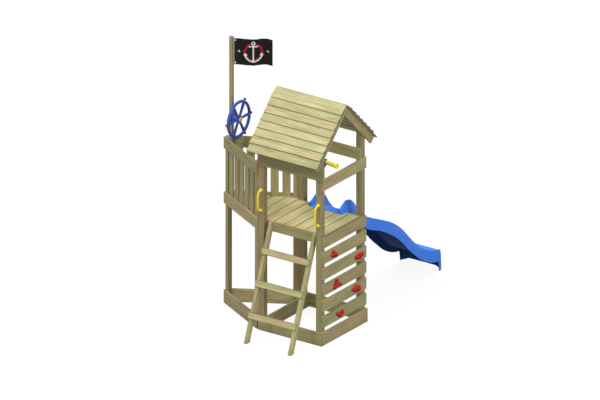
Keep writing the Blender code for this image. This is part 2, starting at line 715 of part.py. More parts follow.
def make_roof():
    end = HALF + ROOF_OVERHANG
    for place, side in (("front", -1), ("back", 1)):
        tilt = 0.0
        outlines = []
        for k in reversed(range(1, PLANK_COUNT)):
            outlines.append(plank_outline(side, k * PLANK_PITCH, tilt))
            rise = PLANK_T * math.cos(tilt) - LAP_BITE
            tilt = math.atan2(rise, PLANK_PITCH - PLANK_T * math.sin(tilt))
        outlines.append(ridge_outline(side, tilt))
        panel = as_mesh(plates("roof_panel_" + place, outlines[0::2], -end, end, "X", ROOF_WOOD))
        others = as_mesh(plates("roof_laps_" + place, outlines[1::2], -end, end, "X", ROOF_WOOD))
        as_cutter(others)
        join_cut(panel, others, "UNION")

        foot = EAVE - RAFTER_SETBACK
        plumb = RAFTER_DEPTH * math.tan(ROOF_SLOPE)
        rafter = [
            roof_point(side, 0.0, 0.0), roof_point(side, foot, 0.0),
            roof_point(side, foot, -RAFTER_DEPTH), roof_point(side, plumb, -RAFTER_DEPTH),
        ]
        rafter = [(y + side * GAP, z) for y, z in rafter]
        for name, sx in (("left", -1), ("right", 1)):
            xs = sorted((sx * (HALF + GAP), sx * (HALF + RAFTER_T)))
            plates("rafter_" + place + "_" + name, [rafter], xs[0], xs[1], "X", BOARD_WOOD)


def climb_board_low(number):
    return BASE_HEIGHT + CLIMB_GAP + (number - 1) * (CLIMB_BOARD_HEIGHT + CLIMB_GAP)


def hold_place(board, along):
    """The middle of a hold's back, on the face of a climbing board."""
    height = climb_board_low(board) + CLIMB_BOARD_HEIGHT / 2
    return Vector((FACE + 2 * GAP, -HALF + along, height))


def make_climbing_wall():
    radius = around(BOLT_RADIUS, BORE_CLEARANCE, BOLT_SIDES)
    for number in range(1, CLIMB_COUNT + 1):
        low = climb_board_low(number)
        near = (HALF + GAP, -HALF, low)
        far = (FACE + GAP, HALF, low + CLIMB_BOARD_HEIGHT)
        board = box(f"climbing_board_{number}", near, far, BOARD_WOOD)
        places = [hold_place(values[0], values[1]) for values in HOLDS.values() if values[0] == number]
        if places:
            bore(board, [(place, (1, 0, 0), radius, 4 * BOARD_T) for place in places])
    for name, values in HOLDS.items():
        make_hold(name, *values)


def make_hold(name, board, along, half_y, half_z, reach, lobe, count, angle):
    """A moulded grip: half of a lobed ball with a flat back, bored for its bolt."""
    mesh = bpy.data.meshes.new(name)
    shape = bmesh.new()
    turn = Matrix.Rotation(math.radians(90), 4, "Y")
    bmesh.ops.create_uvsphere(
        shape, u_segments=HOLD_SEGMENTS, v_segments=HOLD_RINGS, radius=1.0, matrix=turn,
    )
    lift = math.radians(angle)
    for vert in shape.verts:
        around_x = math.atan2(vert.co.z, vert.co.y)
        flat = math.hypot(vert.co.y, vert.co.z)
        swell = 1.0 + lobe * flat * math.cos(count * (around_x - lift))
        lean = 0.25 * half_y * max(vert.co.x, 0.0) ** 2
        vert.co.y = vert.co.y * half_y * swell + lean * math.cos(lift)
        vert.co.z = vert.co.z * half_z * swell + lean * math.sin(lift)
        vert.co.x = vert.co.x * reach
    everything = shape.verts[:] + shape.edges[:] + shape.faces[:]
    cut = bmesh.ops.bisect_plane(
        shape, geom=everything, plane_co=(0, 0, 0), plane_no=(-1, 0, 0), clear_outer=True,
    )
    rim = [item for item in cut["geom_cut"] if isinstance(item, bmesh.types.BMEdge)]
    bmesh.ops.contextual_create(shape, geom=rim)
    bmesh.ops.recalc_face_normals(shape, faces=shape.faces)
    shape.to_mesh(mesh)
    shape.free()
    mesh.shade_smooth()
    mesh.set_sharp_from_angle(angle=math.radians(50))
    obj = add(name, mesh, RED)
    obj.location = hold_place(board, along)
    shank = around(BOLT_RADIUS, BORE_CLEARANCE, BOLT_SIDES)
    pocket = obj.location + Vector((BOLT_POCKET_WALL + reach, 0, 0))
    bore(obj, [(obj.location, (1, 0, 0), shank, 2 * reach)])
    head_room = cylinders(name + "_pocket", [(pocket, (1, 0, 0), BOLT_POCKET_RADIUS, 2 * reach)])
    join_cut(obj, head_room, "DIFFERENCE")


def slide_bolts():
    """Where the slide's lip is bolted down to the deck."""
    y = DECK_HALF_DEPTH - SLIDE_LAP + SLIDE_BOLT_INSET
    return [(side * SLIDE_BOLT_SPREAD, y) for side in (-1, 1)]


def make_ladder():
    """Two stringers against the front fascia, with flat rungs on their fronts."""
    top_y = -POST_INNER - GAP
    run = DECK_TOP / math.tan(LADDER_SLOPE)
    depth = STRINGER_DEPTH / math.sin(LADDER_SLOPE)
    front_top = top_y - STRINGER_HEAD
    foot_front = front_top - run
    drop = (depth - STRINGER_HEAD) * math.tan(LADDER_SLOPE)
    outline = [
        (foot_front, 0.0), (foot_front + depth, 0.0), (top_y, DECK_TOP - drop), (top_y, DECK_TOP),
        (front_top, DECK_TOP),
    ]
    half = LADDER_WIDTH / 2
    for name, low in (("ladder_stringer_left", -half), ("ladder_stringer_right", half - STRINGER_T)):
        plates(name, [outline], low, low + STRINGER_T, "X", BOARD_WOOD)
    up = Vector((math.cos(LADDER_SLOPE), math.sin(LADDER_SLOPE)))
    out = Vector((-math.sin(LADDER_SLOPE), math.cos(LADDER_SLOPE)))
    for i in range(RUNG_COUNT):
        height = DECK_TOP - RUNG_TOP_DROP - i * RUNG_SPACING
        middle = Vector((foot_front + height / math.tan(LADDER_SLOPE), height))
        low = middle - up * RUNG_HEIGHT / 2 + out * GAP
        high = middle + up * RUNG_HEIGHT / 2 + out * GAP
        rung = [tuple(p) for p in (low, high, high + out * RUNG_T, low + out * RUNG_T)]
        plates(f"ladder_rung_{RUNG_COUNT - i}", [rung], -RUNG_LENGTH / 2, RUNG_LENGTH / 2, "X", DECK_WOOD)


def make_handles():
    """Bent grab bars on the fronts of the front posts."""
    middle = (HANDLE_LOW + HANDLE_HIGH) / 2
    reach = (HANDLE_HIGH - HANDLE_LOW) / 2
    straight = HANDLE_STRAIGHT / 2
    stations = [(GAP, reach), (0.010, reach), (0.020, reach)]
    turns = 4
    for i in range(1, turns + 1):
        angle = math.radians(90) * i / turns
        out = 0.020 + (HANDLE_STANDOFF - 0.020) * math.sin(angle)
        stations.append((out, straight + (reach - straight) * math.cos(angle)))
    path = stations + [(out, -height) for out, height in reversed(stations)]
    swell = HANDLE_FOOT_RADIUS / HANDLE_BAR_RADIUS
    ends = [swell, swell, 1.15]
    radii = ends + [1.0] * (len(path) - 2 * len(ends)) + ends[::-1]
    for name, x in (("handle_left", -HALF + POST_SIDE / 2), ("handle_right", HALF - POST_SIDE / 2)):
        points = [(x, -HALF - out, middle + height) for out, height in path]
        tube(name, points, HANDLE_BAR_RADIUS, YELLOW, radii=radii, sides=2)


def slide_section(share):
    """Half of the slide's cross-section at a share of its run, from the middle to the skirt's edge."""
    lip = DECK_TOP + GAP + SLIDE_WALL
    bed = lip * smooth(SLIDE_BED, share)
    rise = smooth(SLIDE_RISE, share)
    flat = smooth(SLIDE_BED_HALF, share)
    crest = smooth(SLIDE_CREST_HALF, share)
    outer = smooth(SLIDE_EDGE_HALF, share)
    edge = bed - SLIDE_WALL + SLIDE_SKIRT_LIFT - smooth(SLIDE_SKIRT, share)
    shoulder = bed + 0.90 * rise
    return [
        (0.0, bed),
        (flat * 0.5, bed),
        (flat - 0.020, bed + 0.02 * rise),
        (flat, bed + 0.16 * rise),
        (flat + 0.5 * (crest - flat), bed + 0.62 * rise),
        (crest - 0.25 * (crest - flat), bed + 0.94 * rise),
        (crest, bed + rise),
        (crest + 0.25 * (outer - crest), shoulder),
        (crest + 0.7 * (outer - crest), shoulder + 0.45 * (edge - shoulder)),
        (outer, edge),
    ]


def make_slide():
    """A moulded shell: bed, side walls with rounded crests, skirts down both sides and a rolled toe."""
    mouth = DECK_HALF_DEPTH - SLIDE_LAP
    foot_share = SLIDE_FOOT / SLIDE_RUN
    last_even = 1.0 - 1.5 * foot_share
    shares = [last_even * i / SLIDE_ROWS for i in range(SLIDE_ROWS + 1)] + [1.0 - foot_share, 1.0]
    shape = bmesh.new()
    rows = []
    for share in shares:
        half = slide_section(share)
        if share >= 1.0 - foot_share:
            half[-1] = (half[-1][0], GAP)
        y = mouth + share * SLIDE_RUN
        full = [(-x, z) for x, z in reversed(half[1:])] + half
        rows.append([shape.verts.new((x, y, z)) for x, z in full])
    for a, b in zip(rows, rows[1:]):
        for j in range(len(a) - 1):
            shape.faces.new((a[j], a[j + 1], b[j + 1], b[j]))
    toe = rows[-1][1:-1]
    corner = abs(rows[-1][0].co.x)
    nose = [rows[-1][0]]
    lower = [rows[-1][0]]
    for vert in toe:
        x, y, z = vert.co
        inwards = (corner - abs(x) - SLIDE_FOOT_WIDTH) / SLIDE_FOOT_TAPER
        ahead = SLIDE_NOSE * min(1.0, 0.4 + (corner - abs(x)) / SLIDE_FOOT_TAPER)
        lift = (SLIDE_TOE_LIP - GAP) * min(max(inwards, 0.0), 1.0)
        nose.append(shape.verts.new((x, y + ahead, z * 0.80)))
        lower.append(shape.verts.new((x, y + ahead / 3, GAP + lift)))
    nose.append(rows[-1][-1])
    lower.append(rows[-1][-1])
    top = rows[-1]
    for upper, under in ((top, nose), (nose, lower)):
        for j in range(len(top) - 1):
            ring = []
            for vert in (upper[j], upper[j + 1], under[j + 1], under[j]):
                if vert not in ring:
                    ring.append(vert)
            if len(ring) > 2:
                shape.faces.new(ring)
    mesh = bpy.data.meshes.new("slide")
    shape.to_mesh(mesh)
    shape.free()
    mesh.shade_smooth()
    mesh.set_sharp_from_angle(angle=math.radians(50))
    slide = add("slide", mesh, SLIDE_BLUE)
    shell = slide.modifiers.new("wall", "SOLIDIFY")
    shell.thickness = SLIDE_WALL
    shell.offset = -1.0
    slide = as_mesh(slide)
    radius = around(BOLT_RADIUS, BORE_CLEARANCE, BOLT_SIDES)
    height = DECK_TOP + SLIDE_WALL / 2
    bore(slide, [((x, y, height), (0, 0, 1), radius, 4 * SLIDE_WALL) for x, y in slide_bolts()])


def make_wheel():
    """A six-spoked wheel that turns on an axle held by a bracket on the mast."""
    axle_line = (1, 0, 0)
    centre = Vector((MAST_FACE + WHEEL_STANDOFF, 0.0, WHEEL_HEIGHT))
    axis = bpy.data.objects.new("wheel_axis", None)
    parts.objects.link(axis)
    axis.parent = root
    axis.location = centre

    bpy.ops.mesh.primitive_torus_add(
        major_segments=40, minor_segments=10,
        major_radius=WHEEL_RING_RADIUS, minor_radius=WHEEL_RING_TUBE,
    )
    ring = bpy.context.object
    ring_mesh = ring.data
    ring_mesh.transform(Matrix.Rotation(math.radians(90), 4, "Y"))
    bpy.data.objects.remove(ring, do_unlink=True)
    ring_mesh.name = "steering_wheel"
    wheel = add("steering_wheel", ring_mesh, WHEEL_BLUE, axis)

    joined = []
    reach = WHEEL_KNOB_REACH
    thin = WHEEL_SPOKE_RADIUS
    neck = WHEEL_RING_RADIUS + WHEEL_RING_TUBE
    knob = WHEEL_KNOB_RADIUS
    half = [
        (0.0, reach), (knob * 0.64, reach), (knob, reach - WHEEL_KNOB_LENGTH * 0.375),
        (knob, reach - WHEEL_KNOB_LENGTH), (knob * 0.72, neck), (thin, neck - 2.5 * WHEEL_RING_TUBE),
        (thin * 1.35, HUB_RADIUS),
    ]
    profile = half + [(radius, -height) for radius, height in reversed(half)]
    for i in range(WHEEL_SPOKE_PAIRS):
        angle = math.pi * i / WHEEL_SPOKE_PAIRS
        line = (0.0, math.cos(angle), math.sin(angle))
        spokes = turned("spoke_pair", profile, (0, 0, 0), line, WHEEL_BLUE, axis, steps=BOLT_SIDES)
        joined.append(spokes)
    hub_half = HUB_LENGTH / 2
    hub = [
        (0.0, hub_half), (HUB_RADIUS - 0.003, hub_half), (HUB_RADIUS, hub_half - 0.003),
        (HUB_RADIUS, 0.003 - hub_half), (HUB_RADIUS - 0.003, -hub_half), (0.0, -hub_half),
    ]
    joined.append(turned("hub", hub, (0, 0, 0), axle_line, WHEEL_BLUE, axis))
    for piece in joined:
        join_cut(wheel, as_cutter(piece), "UNION")
    hole = around(AXLE_RADIUS, TURN_CLEARANCE, ROUND_SIDES)
    bore(wheel, [((0, 0, 0), axle_line, hole, 2 * HUB_LENGTH)], ROUND_SIDES, axis)

    inside = CAP_LENGTH - CAP_WALL
    cap = [
        (0.0, CAP_LENGTH), (CAP_RADIUS * 0.7, CAP_LENGTH - 0.002), (CAP_RADIUS, CAP_LENGTH * 0.55),
        (CAP_RADIUS, GAP), (CAP_RADIUS - CAP_WALL, GAP), (CAP_RADIUS - CAP_WALL, inside * 0.6),
        (0.0, inside),
    ]
    turned("wheel_cap", cap, (hub_half, 0, 0), axle_line, YELLOW, axis)

    length = WHEEL_STANDOFF - hub_half - TURN_CLEARANCE
    snug = around(AXLE_RADIUS, BORE_CLEARANCE, ROUND_SIDES)
    bracket = [
        (BRACKET_NECK_RADIUS, length), (BRACKET_NECK_RADIUS, length * 0.75),
        (BRACKET_FLANGE_RADIUS * 0.8, BRACKET_FLANGE_T), (BRACKET_FLANGE_RADIUS, BRACKET_FLANGE_T),
        (BRACKET_FLANGE_RADIUS, GAP), (snug, GAP), (snug, length),
    ]
    back = (MAST_FACE, 0, WHEEL_HEIGHT)
    turned("wheel_bracket", bracket, back, axle_line, WHEEL_BLUE, closed=True)
    front = hub_half + GAP
    rear = AXLE_INSET - WHEEL_STANDOFF
    axle = [
        (0.0, front + AXLE_HEAD_T), (AXLE_HEAD_RADIUS * 0.8, front + AXLE_HEAD_T),
        (AXLE_HEAD_RADIUS, front + AXLE_HEAD_T * 0.6), (AXLE_HEAD_RADIUS, front),
        (AXLE_RADIUS, front), (AXLE_RADIUS, rear), (0.0, rear),
    ]
    turned("wheel_axle", axle, centre, axle_line, STEEL)


def make_telescope():
    """A tube in a fork. The fork swivels on the base plate, and the tube nods in the fork."""
    post_face = -POST_INNER
    swivel = bpy.data.objects.new("telescope_swivel_axis", None)
    tilt = bpy.data.objects.new("telescope_tilt_axis", None)
    for empty in (swivel, tilt):
        parts.objects.link(empty)
    swivel.parent = root
    tilt.parent = swivel
    centre = Vector((HALF - POST_SIDE / 2, post_face, SCOPE_HEIGHT))
    swivel.location = centre
    swivel.rotation_euler = (0.0, SCOPE_PITCH, 0.0)
    tilt.location = (0.0, SCOPE_STANDOFF, 0.0)

    hole = around(SCOPE_STUD_RADIUS, TURN_CLEARANCE, ROUND_SIDES)
    plate = [
        (SCOPE_BASE_RADIUS - 0.006, SCOPE_BASE_T), (SCOPE_BASE_RADIUS, SCOPE_BASE_T - 0.005),
        (SCOPE_BASE_RADIUS, GAP), (hole, GAP), (hole, SCOPE_BASE_T),
    ]
    turned("telescope_base", plate, centre, (0, 1, 0), WHEEL_BLUE, closed=True)

    web = SCOPE_BASE_T + TURN_CLEARANCE
    inside = SCOPE_TUBE_RADIUS + YOKE_ARM_CLEARANCE
    outside = inside + YOKE_ARM_T
    nose = SCOPE_STANDOFF + YOKE_NOSE
    fork = [
        (web, -outside), (nose, -outside), (nose, -inside), (web + YOKE_WEB_T, -inside),
        (web + YOKE_WEB_T, inside), (nose, inside), (nose, outside), (web, outside),
    ]
    half = YOKE_WIDTH / 2
    arms = plates("telescope_yoke", [fork], -half, half, "X", WHEEL_BLUE, swivel, PLASTIC_EDGE)
    yoke = as_mesh(arms)
    stud_low = 3 * GAP
    stud_length = web + YOKE_WEB_T / 2 - stud_low
    stud = [((0, stud_low + stud_length / 2, 0), (0, 1, 0), SCOPE_STUD_RADIUS, stud_length)]
    join_cut(yoke, cylinders("telescope_stud", stud, swivel, ROUND_SIDES), "UNION")
    start = SCOPE_TUBE_RADIUS - SCOPE_WALL + GAP
    length = inside + YOKE_ARM_T / 2 - start
    pins = []
    for side in (-1, 1):
        middle = (0, SCOPE_STANDOFF, side * (start + length / 2))
        pins.append((middle, (0, 0, 1), SCOPE_PIN_RADIUS, length))
    join_cut(yoke, cylinders("telescope_pins", pins, swivel), "UNION")

    rear = -SCOPE_REAR
    front = SCOPE_FRONT
    bore_radius = SCOPE_TUBE_RADIUS - SCOPE_WALL
    ring = SCOPE_RING_LENGTH
    tube_profile = [
        (SCOPE_RING_RADIUS, front), (SCOPE_RING_RADIUS, front - ring),
        (SCOPE_TUBE_RADIUS, front - ring - 0.003), (SCOPE_TUBE_RADIUS, rear + ring + 0.003),
        (SCOPE_RING_RADIUS, rear + ring),
        (SCOPE_RING_RADIUS, rear), (bore_radius, rear), (bore_radius, front),
    ]
    along = (1, 0, 0)
    barrel = turned("telescope_tube", tube_profile, (0, 0, 0), along, YELLOW, tilt, closed=True)
    loose = around(SCOPE_PIN_RADIUS, TURN_CLEARANCE, ROUND_SIDES)
    bore(barrel, [((0, 0, 0), (0, 0, 1), loose, 3 * outside)], ROUND_SIDES, tilt)


def flag_frame():
    """Local frame of the flag: X along it, Y across its face, Z up, from the top of the hoist."""
    hoist = (MAST_SIDE / 2 + FLAG_CLEARANCE) / math.cos(FLAG_ANGLE)
    x = MAST_X + hoist * math.cos(FLAG_ANGLE)
    start = Vector((x, hoist * math.sin(FLAG_ANGLE), MAST_TOP - FLAG_TOP_DROP))
    return Matrix.Translation(start) @ Matrix.Rotation(FLAG_ANGLE, 4, "Z")


def make_flag():
    """A cloth flag with its main folds, held by two screw eyes through its eyelets."""
    frame = flag_frame()
    columns = 28
    rows = 6
    shape = bmesh.new()
    grid = bmesh.ops.create_grid(shape, x_segments=columns, y_segments=rows, size=0.5)
    for vert in grid["verts"]:
        share = vert.co.x + 0.5
        height = (vert.co.y - 0.5) * FLAG_HEIGHT
        vert.co = (share * FLAG_LENGTH, smooth(FLAG_WAVE, min(max(share, 0.0), 1.0)), height)
    mesh = bpy.data.meshes.new("flag")
    shape.to_mesh(mesh)
    shape.free()
    flag = add("flag", mesh, FLAG_BLACK)
    flag.matrix_basis = frame
    cloth = flag.modifiers.new("cloth", "SOLIDIFY")
    cloth.thickness = FLAG_T
    cloth.offset = 0.0
    cloth.use_even_offset = True

    across = frame.to_3x3() @ Vector((0, 1, 0))
    bores = []
    for place, height in (("upper", -EYELET_END_INSET), ("lower", EYELET_END_INSET - FLAG_HEIGHT)):
        eyelet = frame @ Vector((EYELET_INSET, 0.0, height))
        bores.append((eyelet, across, EYELET_BORE, 4 * HOOK_WIRE_RADIUS))
        make_hook(place, eyelet)
    bore(flag, bores)


def make_hook(place, eyelet):
    """A screw eye in the mast's face, closed through the flag's eyelet."""
    near = MAST_FACE + HOOK_FACE_CLEARANCE + HOOK_WIRE_RADIUS
    along = Vector((math.cos(FLAG_ANGLE), math.sin(FLAG_ANGLE), 0.0))
    radius = (eyelet.x - near) / (1 + along.x)
    centre = eyelet - along * radius
    bpy.ops.mesh.primitive_torus_add(
        major_segments=16, minor_segments=6, major_radius=radius, minor_radius=HOOK_WIRE_RADIUS,
    )
    ring = bpy.context.object
    mesh = ring.data
    bpy.data.objects.remove(ring, do_unlink=True)
    mesh.name = "flag_hook_" + place
    mesh.shade_smooth()
    hook = add("flag_hook_" + place, mesh, STEEL)
    hook.location = centre
    length = HOOK_BITE + HOOK_FACE_CLEARANCE + HOOK_WIRE_RADIUS
    middle = (MAST_FACE - HOOK_BITE + length / 2, centre.y, centre.z)
    shank = [(middle, (1, 0, 0), HOOK_WIRE_RADIUS, length)]
    join_cut(hook, cylinders("hook_shank_" + place, shank, sides=8), "UNION")
    hole = around(HOOK_WIRE_RADIUS, BORE_CLEARANCE, 8)
    face = (MAST_FACE, centre.y, centre.z)
    bore(bpy.data.objects["mast"], [(face, (1, 0, 0), hole, 2 * HOOK_BITE + 2 * GAP)], 8)


def centre_footprint():
    """Move the model so that the middle of its footprint is over the origin."""
    bpy.context.view_layer.update()
    graph = bpy.context.evaluated_depsgraph_get()
    low = Vector((math.inf, math.inf))
    high = Vector((-math.inf, -math.inf))
    for obj in parts.objects:
        if obj.type == "EMPTY":
            continue
        seen = obj.evaluated_get(graph)
        mesh = seen.to_mesh()
        for vert in mesh.vertices:
            place = seen.matrix_world @ vert.co
            low = Vector((min(low.x, place.x), min(low.y, place.y)))
            high = Vector((max(high.x, place.x), max(high.y, place.y)))
        seen.to_mesh_clear()
    root.location = (-(low.x + high.x) / 2, -(low.y + high.y) / 2, 0.0)


make_posts()
make_base_boards()
make_deck()
make_bow_deck()
make_bow()
make_stem_and_mast()
make_beams_and_rail()
make_roof()
make_climbing_wall()
make_ladder()
make_handles()
make_slide()
make_wheel()
make_telescope()
make_flag()
centre_footprint()
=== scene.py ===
"""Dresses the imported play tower: grained timber, screws, moulded plastics and the flag's cloth.

Metres, +Z up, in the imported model's frame. +X points to the climbing wall, +Y down the slide and -Y
to the ladder. Lengths with no frame value to come from are the source's own driving sizes.
"""

import json
import math
import random

import bmesh
import bpy
from mathutils import Matrix, Vector, noise

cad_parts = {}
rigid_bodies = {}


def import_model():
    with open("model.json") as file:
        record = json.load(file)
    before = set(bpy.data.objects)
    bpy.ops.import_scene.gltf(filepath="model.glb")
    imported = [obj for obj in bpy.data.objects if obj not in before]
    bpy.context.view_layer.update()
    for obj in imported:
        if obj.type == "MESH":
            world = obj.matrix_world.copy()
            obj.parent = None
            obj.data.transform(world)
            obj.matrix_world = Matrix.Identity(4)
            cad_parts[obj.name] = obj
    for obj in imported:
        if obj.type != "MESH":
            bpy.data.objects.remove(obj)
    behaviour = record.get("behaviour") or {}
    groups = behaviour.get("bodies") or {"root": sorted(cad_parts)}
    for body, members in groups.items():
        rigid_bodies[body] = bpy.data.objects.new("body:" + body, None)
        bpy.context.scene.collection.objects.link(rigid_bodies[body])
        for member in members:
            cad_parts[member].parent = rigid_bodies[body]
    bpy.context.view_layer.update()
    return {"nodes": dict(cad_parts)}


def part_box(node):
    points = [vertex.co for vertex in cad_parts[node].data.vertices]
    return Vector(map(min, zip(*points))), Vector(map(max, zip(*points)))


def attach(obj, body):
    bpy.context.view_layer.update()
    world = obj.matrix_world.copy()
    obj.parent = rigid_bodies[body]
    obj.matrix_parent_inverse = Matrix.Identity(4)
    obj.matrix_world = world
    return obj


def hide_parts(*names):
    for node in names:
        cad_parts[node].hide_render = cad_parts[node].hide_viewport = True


for old in list(bpy.data.objects):
    bpy.data.objects.remove(old, do_unlink=True)

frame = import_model()
nodes = frame["nodes"]

# Read from the frame
corner_low, corner_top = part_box("post_front_left")
corner_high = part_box("post_back_right")[1]
CX, CY = ((corner_low + corner_high) / 2).xy
HALF = (corner_high.x - corner_low.x) / 2
POST_SIDE = corner_top.x - corner_low.x
DECK_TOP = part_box("deck_floor")[1].z
RIGHT_BOARDS = (
    "base_board_right", "deck_fascia_right", "rail_right", *(f"climbing_board_{i}" for i in range(1, 6)),
)
PLACES = (("front", -1), ("back", 1))

# Timber
BOARD_T = 0.025
GAP = 0.0003  # a hair between a piece and what it lies on
EASED = 0.002
BOARD_HEIGHT = 0.154

# Photograph: orthographic, 600 x 400, with the tower's front right corner on the ground at a known pixel
AZIMUTH = math.radians(35.0)
ELEVATION = math.radians(22.78)
PIXELS_PER_METRE = 80.0
IMAGE = (600, 400)
CORNER_PIXEL = (321.1, 345.8)


def unit(x, y, z):
    return Vector((x, y, z)).normalized()


def middle_of(name):
    """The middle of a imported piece's box."""
    low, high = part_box(name)
    return (low + high) / 2


# Shaders

WHITE = (1.0, 1.0, 1.0)


class Formula:
    """A value in a shader's node tree, so that a pattern can be written as an ordinary sum."""

    def __init__(self, tree, socket):
        self.tree = tree
        self.socket = socket

    def math(self, operation, *others):
        return node(self.tree, "Math", (self, *others), operation=operation)

    def __add__(self, other):
        return self.math("ADD", other)

    def __sub__(self, other):
        return self.math("SUBTRACT", other)

    def __mul__(self, other):
        return self.math("MULTIPLY", other)

    def __truediv__(self, other):
        return self.math("DIVIDE", other)

    def flipped(self):
        """One minus the value."""
        return node(self.tree, "Math", (1.0, self), operation="SUBTRACT")

    def fract(self):
        return self.math("FRACT")

    def size(self):
        return self.math("ABSOLUTE")

    def least(self, other):
        return self.math("MINIMUM", other)

    def most(self, other):
        return self.math("MAXIMUM", other)

    def step(self, low, high):
        """0 below low, 1 above high, and smooth between them."""
        values = {"Value": self, "From Min": low, "From Max": high}
        return node(self.tree, "MapRange", values, interpolation_type="SMOOTHSTEP")

    def fall(self, low, high):
        """1 below low and 0 above high."""
        return self.step(low, high).flipped()

    def under(self, limit, soft):
        return self.fall(limit - soft, limit + soft)

    def between(self, low, high, soft):
        return self.step(low - soft, low + soft) * self.under(high, soft)


def node(tree, kind, values=(), output=0, **settings):
    """A new node with its settings and inputs; returns one of its outputs as a Formula."""
    made = tree.nodes.new("ShaderNode" + kind)
    for name, value in settings.items():
        setattr(made, name, value)
    pairs = values.items() if isinstance(values, dict) else enumerate(values)
    for key, value in pairs:
        if isinstance(value, Formula):
            tree.links.new(value.socket, made.inputs[key])
        else:
            made.inputs[key].default_value = value
    return Formula(tree, made.outputs[output])


def hypot(a, b):
    return (a * a + b * b).math("SQRT")


def blend(tree, share, a, b):
    """Colour a where share is 0, and b where it is 1."""
    mixed = tree.nodes.new("ShaderNodeMix")
    mixed.data_type = "RGBA"
    for index, value in ((0, share), (6, a), (7, b)):
        if isinstance(value, Formula):
            tree.links.new(value.socket, mixed.inputs[index])
        elif index:
            mixed.inputs[index].default_value = (*value, 1.0)
        else:
            mixed.inputs[index].default_value = value
    return Formula(tree, mixed.outputs[2])


def tinted(tree, colour, factor):
    """A colour multiplied by a colour or by a plain value."""
    if not isinstance(factor, Formula):
        factor = tuple(factor)
    return node(tree, "VectorMath", (colour, factor), operation="MULTIPLY")


def vector(tree, x, y, z):
    return node(tree, "CombineXYZ", (x, y, z))


def noise_at(tree, place, scale=1.0, detail=2.0, rough=0.5):
    values = {"Vector": place, "Scale": scale, "Detail": detail, "Roughness": rough}
    return node(tree, "TexNoise", values)


def own(tree, name, output="Vector", kind="OBJECT"):
    """A value that each piece, or each of its points, carries for itself."""
    return node(tree, "Attribute", (), output, attribute_type=kind, attribute_name=name)


def part_of(tree, value, axis):
    return node(tree, "SeparateXYZ", (value,), axis)


def dot(tree, a, b):
    return node(tree, "VectorMath", (a, b), "Value", operation="DOT_PRODUCT")


def own_place(tree):
    return node(tree, "TexCoord", (), "Object")


def own_facing(tree):
    return node(tree, "NewGeometry", (), "True Normal")


def finish(name, **plain):
    """A Principled material. plain holds sockets that are the same all over."""
    made = bpy.data.materials.new(name)
    made.use_nodes = True
    shader = made.node_tree.nodes["Principled BSDF"]
    for key, value in plain.items():
        shader.inputs[key.replace("_", " ")].default_value = value
    return made, made.node_tree, shader


def wire(tree, shader, colour, rough, height, depth, strength):
    """Connect a pattern's colour, roughness and height to the shader."""
    tree.links.new(colour.socket, shader.inputs["Base Color"])
    tree.links.new(rough.socket, shader.inputs["Roughness"])
    values = {"Strength": strength, "Distance": depth, "Height": height}
    bump = node(tree, "Bump", values)
    tree.links.new(bump.socket, shader.inputs["Normal"])


RING = 0.0062  # spacing of the growth rings
KNOT_CELL = 0.30  # room for one knot along a board
KNOT_CELL_WIDTH = 0.45 * KNOT_CELL
SEED_SHIFT = 37.0  # metres that a seed of 1 moves the pattern along the grain


